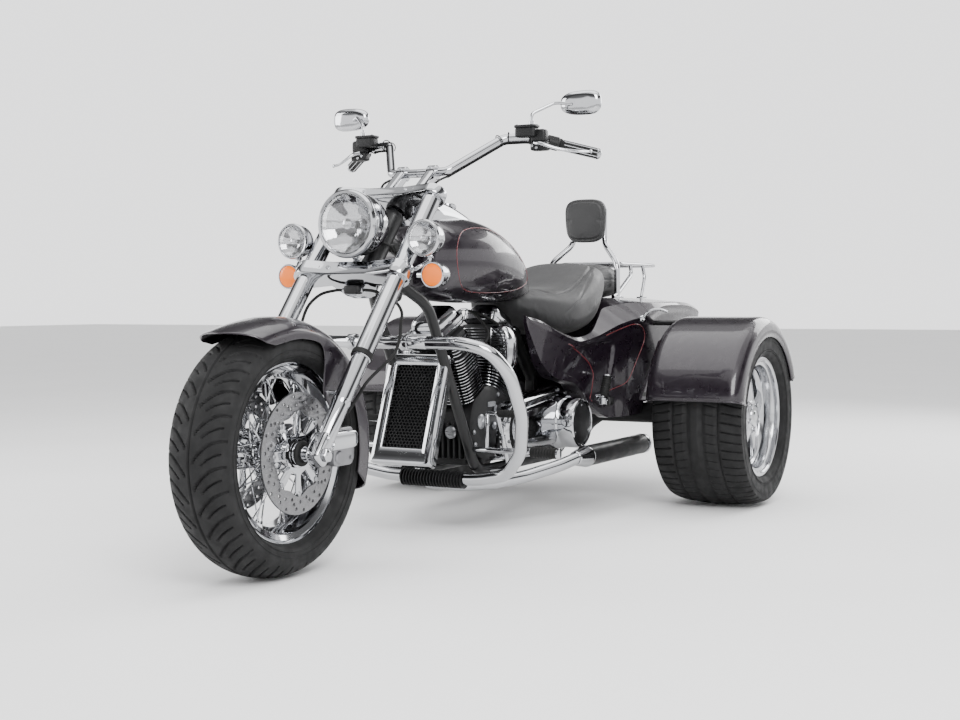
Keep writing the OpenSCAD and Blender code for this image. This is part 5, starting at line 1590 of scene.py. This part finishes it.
barHalf = bends([(135, 1915, 711.5), (135, 1915, 838), (62, 1965, 912), (58, 1973, 1041)], 30, 8)
sissy = both(sweep(barHalf, 10.5, 24))
sissyBits = [softBlock([-64, 1966, 1021], [64, 1972, 1037], 8),
             *[softBlock([s * 136.5 - 9.5, 1875, 711.2], [s * 136.5 + 9.5, 1955, 717], 8) for s in (-1, 1)],
             *[boltHead((s * 136.5, y, 717), (0, 0, 1), 6) for s in (-1, 1) for y in (1888, 1940)],
             *[boltHead((s * 40, 1972, 1029), (0, 1, 0), 5) for s in (-1, 1)]]
piece("sissyBar", "chassis", join(sissy, *sissyBits), chromeLook, 40, replaces=["sissy_bar"])
rackLoop = bends([(0, wheelbase + 150, 838), (118, wheelbase + 150, 838), (118, wheelbase + 400, 838),
                  (106, wheelbase + 553, 838), (0, wheelbase + 553, 838)], 46, 10)
legs = [sweep(bends([(136, wheelbase + 60, 716), (134, wheelbase + 110, 730), (120, wheelbase + 270, 800),
                     (118, wheelbase + 262, 838)], 24, 8), 7.5, 18),
        sweep(bends([(118, wheelbase + 380, 838), (124, wheelbase + 392, 790), (136, wheelbase + 330, 716)],
                    26, 8), 7, 18)]
cross = [rod((-118, wheelbase + y, 838), (118, wheelbase + y, 838), 6) for y in (165, 330, 480)]
slats = [softBlock([x - 9, wheelbase + 330, 842], [x + 9, wheelbase + 470, 845.5], 8)
         for x in (-88, -44, 0, 44, 88)]
rackFeet = [softBlock([s * 136 - 13, wheelbase + y - 26, 711.2], [s * 136 + 13, wheelbase + y + 26, 716.5],
                      6) for s in (-1, 1) for y in (330,)]
piece("luggageRack", "chassis",
      join(both(sweep(rackLoop, 7, 20)), *[both(l) for l in legs], *cross, *slats, *rackFeet), chromeLook,
      40,
      replaces=["luggage_rack"])
print("bars made")

# Rear body: a section with a flat deck, a sloped shoulder down to a ridge, and a side that tucks in

bodyRows = [(-675, 120, 658, 148, 658, 157, 652, 158, 632), (-653, 130, 650, 158, 651, 168, 640, 167, 580),
            (-609, 140, 638, 176, 639, 187, 629, 184, 500), (-543, 150, 608, 190, 613, 203, 602, 198, 454),
            (-463, 156, 584, 199, 591, 214, 578, 206, 437), (-401, 168, 572, 206, 582, 224, 568, 212, 420),
            (-312, 190, 576, 214, 596, 240, 582, 226, 345), (-240, 201, 578, 209, 642, 262, 607, 244, 306),
            (-200, 201, 582, 208, 676, 276, 621, 258, 301), (-146, 197, 606, 224, 688, 300, 636, 284, 302),
            (-90, 184, 664, 252, 694, 316, 645, 300, 306), (-40, 160, 706, 284, 696, 326, 656, 312, 310),
            (60, 150, 712, 320, 694, 330, 682, 318, 318), (200, 150, 712, 320, 697, 330, 686, 324, 330),
            (330, 150, 709, 311, 694, 322, 682, 316, 340), (400, 150, 703, 304, 688, 316, 675, 312, 346),
            (500, 150, 692, 286, 677, 300, 662, 298, 356), (545, 150, 678, 268, 664, 284, 648, 284, 362),
            (560, 150, 662, 254, 648, 270, 634, 272, 376)]
bodyWay = spline(bodyRows, 10)
bodyWay[:, 0] += wheelbase


def rounded(corners, reach, steps):
    # each inner corner of a chain becomes a quadratic curve, for many chains at once
    t = np.linspace(0, 1, steps)[None, :, None]
    out = [corners[:, :1]]
    for i in range(1, corners.shape[1] - 1):
        c, before, after = corners[:, i, None], corners[:, i - 1, None], corners[:, i + 1, None]
        a, b = c + reach[i - 1] * unit(before - c), c + reach[i - 1] * unit(after - c)
        out.append((1 - t) ** 2 * a + 2 * t * (1 - t) * c + t * t * b)
    return np.concatenate(out + [corners[:, -1:]], 1)


def bodySide(y, z):
    # half width of the flank below the ridge: from the ridge in to the lower edge, hollowed by a half sine
    xr, zr, xl, low = (np.interp(y, bodyWay[:, 0], bodyWay[:, i]) for i in (5, 6, 7, 8))
    t = np.clip((zr - z) / np.maximum(zr - low, 1), 0, 1)
    ease = np.minimum(t * 9, 1)
    x = xr + (xl - xr) * t - 7 * ease * ease * (3 - 2 * ease) * np.clip((zr - low) / 200, 0, 1)
    return x - panelDepth(y, z)


def panelDepth(y, z):
    # rounded recess on the flank: distance to a rounded four-sided outline, eased over a few millimetres
    row = y - wheelbase
    top = 553 + 0.08 * (row + 400) + 0.0016 * np.maximum(row + 320, 0) ** 2
    low = np.interp(y, bodyWay[:, 0], bodyWay[:, 8]) + 16
    u = np.abs(row + 350 - 0.16 * (z - 500)) / 141
    v = np.abs(z - (top + low) / 2) / np.maximum((top - low) / 2, 30)
    d = ((u ** 5 + v ** 5) ** 0.2 - 1) * 100
    k = np.clip(-d / 9, 0, 1)
    return 10 * k * k * (3 - 2 * k)


def bodyShape():
    y, xi, zi, xd, zd, xr, zr, xl, low = bodyWay.T
    n = len(y)
    top = rounded(np.stack([np.stack([0 * y, zi], 1), np.stack([xi, zi], 1), np.stack([xd, zd], 1),
                            np.stack([xr, zr], 1)], 1), [4, 5], 6)
    t = np.linspace(0, 1, 60)[None] ** 1.15
    z = zr[:, None] + (low - zr)[:, None] * t
    x = bodySide(np.broadcast_to(y[:, None], z.shape), z)
    flank = np.stack([x, z], -1)
    floor = np.stack([np.stack([xl - 14, low - 0.0], 1), np.stack([0 * y, low], 1)], 1)
    half = np.concatenate([top[:, :-1], flank, floor], 1)
    full = np.concatenate([half, (half * [-1, 1])[:, ::-1][:, 1:-1]], 1)
    return loft(np.concatenate([full[..., :1], np.broadcast_to(y[:, None, None], (n, full.shape[1], 1)),
                                full[..., 1:]], -1))


def boxMesh(low, high):
    bm = bmesh.new()
    bmesh.ops.create_cube(bm, size=1)
    low, high = place(low), place(high)
    for v in bm.verts:
        v.co = Vector((low + high) / 2) + Vector([a * b for a, b in zip(v.co, high - low)])
    mesh = bpy.data.meshes.new("cut")
    bm.to_mesh(mesh)
    bm.free()
    return mesh


def carve(obj, cuts):
    # boxes and shapes taken out of a closed piece
    cutters = []
    for i, mesh in enumerate(cuts):
        c = bpy.data.objects.new(f"cut{i}", mesh)
        bpy.context.scene.collection.objects.link(c)
        cutters.append(c)
        m = obj.modifiers.new(f"cut{i}", "BOOLEAN")
        m.operation, m.solver, m.object = "DIFFERENCE", "EXACT", c
    mesh = bpy.data.meshes.new_from_object(obj.evaluated_get(bpy.context.evaluated_depsgraph_get()))
    obj.modifiers.clear()
    for c in cutters:
        bpy.data.objects.remove(c)
    obj.data = mesh
    mesh.name = obj.name
    mesh.shade_smooth()
    mesh.set_sharp_from_angle(angle=math.radians(24))
    return obj


def boreMesh(centre, half, radius, count=64):
    points, quads = rod((-half, *centre), (half, *centre), radius, 0.1, count)
    mesh = bpy.data.meshes.new("bore")
    mesh.from_pydata(place(points).tolist(), [], quads.tolist())
    bm = bmesh.new()
    bm.from_mesh(mesh)
    bmesh.ops.remove_doubles(bm, verts=bm.verts, dist=1e-5)
    bmesh.ops.recalc_face_normals(bm, faces=bm.faces)
    bm.to_mesh(mesh)
    bm.free()
    return mesh


body = piece("rearBody", "chassis", bodyShape(), paintLook, 24, replaces=["rear_body"])
carve(body, [boxMesh((-146, 600, 200), (146, 1735, 800)), boxMesh((-206, 1555, 150), (206, 1700, 421)),
             boxMesh((-262, 1690, 150), (262, 2005, 421)), boreMesh((wheelbase, rearRadius), 500, 72),
             boxMesh((-196, 2019, 414), (196, 2600, 611)), boxMesh((-210, 2345, 400), (210, 2600, 625))])
print("rear body made")


def onFlank(path, raise_=0.3):
    return np.stack([bodySide(path[:, 0], path[:, 1]) + raise_, path[:, 0], path[:, 1]], 1)


frontCurve = spline([(-470, 560), (-455, 556), (-393, 531), (-330, 495), (-301, 459), (-299, 429),
                     (-304, 390), (-312, 362)], 14)
rearLoop = spline([(-262, 584), (-190, 606), (-146, 619), (-105, 618), (-78, 604), (-68, 580), (-75, 549),
                   (-105, 497), (-130, 453),
                   (-146, 428), (-165, 414), (-190, 405), (-241, 390), (-270, 376)], 10)
frontCurve[:, 0] += wheelbase
rearLoop[:, 0] += wheelbase
piece("bodyStripes", "chassis",
      both(join(sweep(onFlank(frontCurve), 1.3, 8), sweep(onFlank(rearLoop), 1.3, 8))), stripeLook,
      180)

# Rear fenders: the section runs from inner lip over a flat crown to a rolled outer lip

fender = {"radius": 341, "inner": 409, "outer": 745, "corner": 44, "lip": 40, "from": 12, "to": 156,
          "wall": 3}


def fenderSection():
    r, c = fender["radius"], fender["corner"]
    a = np.linspace(0, np.pi / 2, 9)
    left = np.stack([fender["inner"] + c - c * np.cos(a), r - c + c * np.sin(a)], 1)
    mid = np.linspace(fender["inner"] + c, fender["outer"] - c, 9)[1:-1]
    crown = np.stack([mid, np.full(7, float(r))], 1)
    right = np.stack([fender["outer"] - c + c * np.sin(a), r - c + c * np.cos(a)], 1)
    low = [[fender["inner"], r - fender["lip"] - 20]], [[fender["outer"] - 0.5, r - 64],
                                                        [fender["outer"] - 4, r - 68],
                                                        [fender["outer"] - 9, r - 68]]
    return np.concatenate([low[0], left, crown, right, low[1]])


def fenderShape():
    s = fenderSection()
    t = np.radians(np.linspace(fender["from"], fender["to"], 73))[:, None]
    ease = np.clip(np.minimum(t - t[0], t[-1] - t) / math.radians(5), 0, 1)
    r = s[None, :, 1] - 3 * (1 - ease) ** 2
    return np.stack([np.broadcast_to(s[None, :, 0], r.shape), wheelbase - r * np.cos(t),
                     rearRadius + r * np.sin(t)], -1)


grid = fenderShape()
piece("rearFenders", "chassis", both(sheet(grid)), paintLook, 40, wall=fender["wall"],
      replaces=["rear_fenders"])
hems = [sweep(grid[0, 1:-2] + [0, 2, 0], 3.2, 12), sweep(grid[-1, 1:-2] - [0, 2, 0], 3.2, 12)]
piece("fenderHems", "chassis", both(join(*hems)), paintLook, 60)
barUp = unit([0, 186, 202])
barOutline = np.array([(4, 0), (30, 0), (34, 6), (34, 240), (28, 268), (20, 275), (10, 275), (0, 262),
                       (0, 6)], float)
barFoot = np.array([364, wheelbase - 250, 366])
barBolts = [boltHead(barFoot + [17, 0, 0] + z * barUp + [0, -2, 2], np.cross(barUp, [1, 0, 0]) * [1, 1, 1],
                     6.5) for z in (24, 244)]
for side, name in ((1, "fenderBracketLeft"), (-1, "fenderBracketRight")):
    strip = plate([barOutline], 5, 1, barFoot * [side, 1, 1], (side, 0, 0), barUp)
    piece(name, "chassis", strip, paintLook, 35)
piece("bracketBolts", "chassis", both(join(*barBolts)), satinBlack)
stalk = [sweep(spline([(330, wheelbase - 130, 640), (352, wheelbase - 128, 664),
                       (384, wheelbase - 120, 672), (414, wheelbase - 112, 664)], 6), 5, 14),
         turned([[0, 8], [9, 7], [11, 2], [11, -3]], (326, wheelbase - 130, 640), (0.9, 0, 0.4), 24)]
piece("fenderStalks", "chassis", both(join(*stalk)), chromeLook)
print("fenders made")

# Tail: lamps, door, plate bracket; below: subframe and axle

lampAt = np.array([242, 0, 560.0])
rings = [turned([[24, 2376], [30, 2378], [31, 2384], [30, 2392], [27, 2394], [25, 2391]], lampAt, (0, 1, 0),
                56)]
piece("tailLampRims", "chassis", both(join(*rings)), chromeLook)
piece("tailLamps", "chassis",
      both(turned([[27, 2377], [27, 2390], [24, 2394], [16, 2396.4], [0, 2397]], lampAt, (0, 1, 0), 56)),
      redLook, replaces=["rear_lights"])
doorBody = softBlock([-205, 2351, 405], [205, 2377, 620], 14, 64, 20)
piece("trunkDoor", "trunk", doorBody, paintLook, 40, replaces=["trunk_door"])
trimStripe = bends([(-180, 0, 430), (180, 0, 430), (180, 0, 594), (-180, 0, 594), (-180, 0, 430)], 22,
                   8) + [0, 2376.8, 0]
piece("doorStripe", "trunk", sweep(trimStripe, 1.2, 8), stripeLook, 180)
handle = [turned([[0, 9], [11, 8], [14, 3], [14, -2]], (0, 2376, 600 - 6), (0, 1, 0), 32)]
piece("trunkLatch", "trunk", join(*handle), chromeLook)
plateHoles = [circle(3.6, 16, (s * 89 + 102, t * 60.5 + 72.5))[::-1] for s in (-1, 1) for t in (-1, 1)]
plateOutline = np.array([(0, 0), (204, 0), (204, 145), (0, 145)], float)
print("tail made")

railsBack = [softBlock([s * 135 - 15, 1565, 341], [s * 135 + 15, 1965, 377], 8) for s in (-1, 1)]
axleShape = [turned([[58, 415], [58, 404], [42, 396], [36, 386], [36, 120], [60, 84], [84, 62], [88, 42],
                     [88, -42], [84, -62], [60, -84], [36, -120],
                     [36, -386], [42, -396], [58, -404], [58, -415], [17.5, -415], [17.5, -640], [0, -640]],
                     (0, wheelbase, rearRadius), (1, 0, 0), 56),
             rod((400, wheelbase, rearRadius), (640, wheelbase, rearRadius), 17.5, 1),
             turned([[88, 0], [84, 8], [0, 14]], (0, wheelbase + 70, rearRadius), (0, 1, 0), 40)]
axleBolts = [boltHead((0 + 66 * math.cos(a), wheelbase + 88, rearRadius + 66 * math.sin(a)), (0, 1, 0), 5)
             for a in np.radians(range(0, 360, 45))]
piece("rearAxleHousing", "chassis", join(*axleShape), engineBlack, 35,
      replaces=["rear_axle"])

struts = [rod((280, wheelbase + 318 * math.cos(math.radians(a)),
               rearRadius + 318 * math.sin(math.radians(a))),
              (412, wheelbase + 318 * math.cos(math.radians(a)),
               rearRadius + 318 * math.sin(math.radians(a))), 9, 1, 18) for a in (90, 36)]
struts.append(rod(barFoot + [20, 160, 178], barFoot + [48, 160, 178], 8, 1, 18))
subframe = [*railsBack, softBlock([-260, 1565, 341], [260, 1610, 377], 8), both(join(*struts)),
            *[softBlock([s * 135 - 13, wheelbase - 34, 330], [s * 135 + 13, wheelbase + 34, 352], 8)
              for s in (-1, 1)]]
piece("rearSubframe", "chassis", join(*subframe), satinBlack, 35, replaces=["rear_subframe"])
piece("axleBolts", "chassis", join(*axleBolts), steelLook)
platePiece = plate([plateOutline, *plateHoles], 4, 0.8, (102, 2383, 440), (-1, 0, 0), (0, 0, 1))
piece("platePlain", "trunk", platePiece, satinBlack, 30, replaces=["plate_bracket"])
print("underside made")
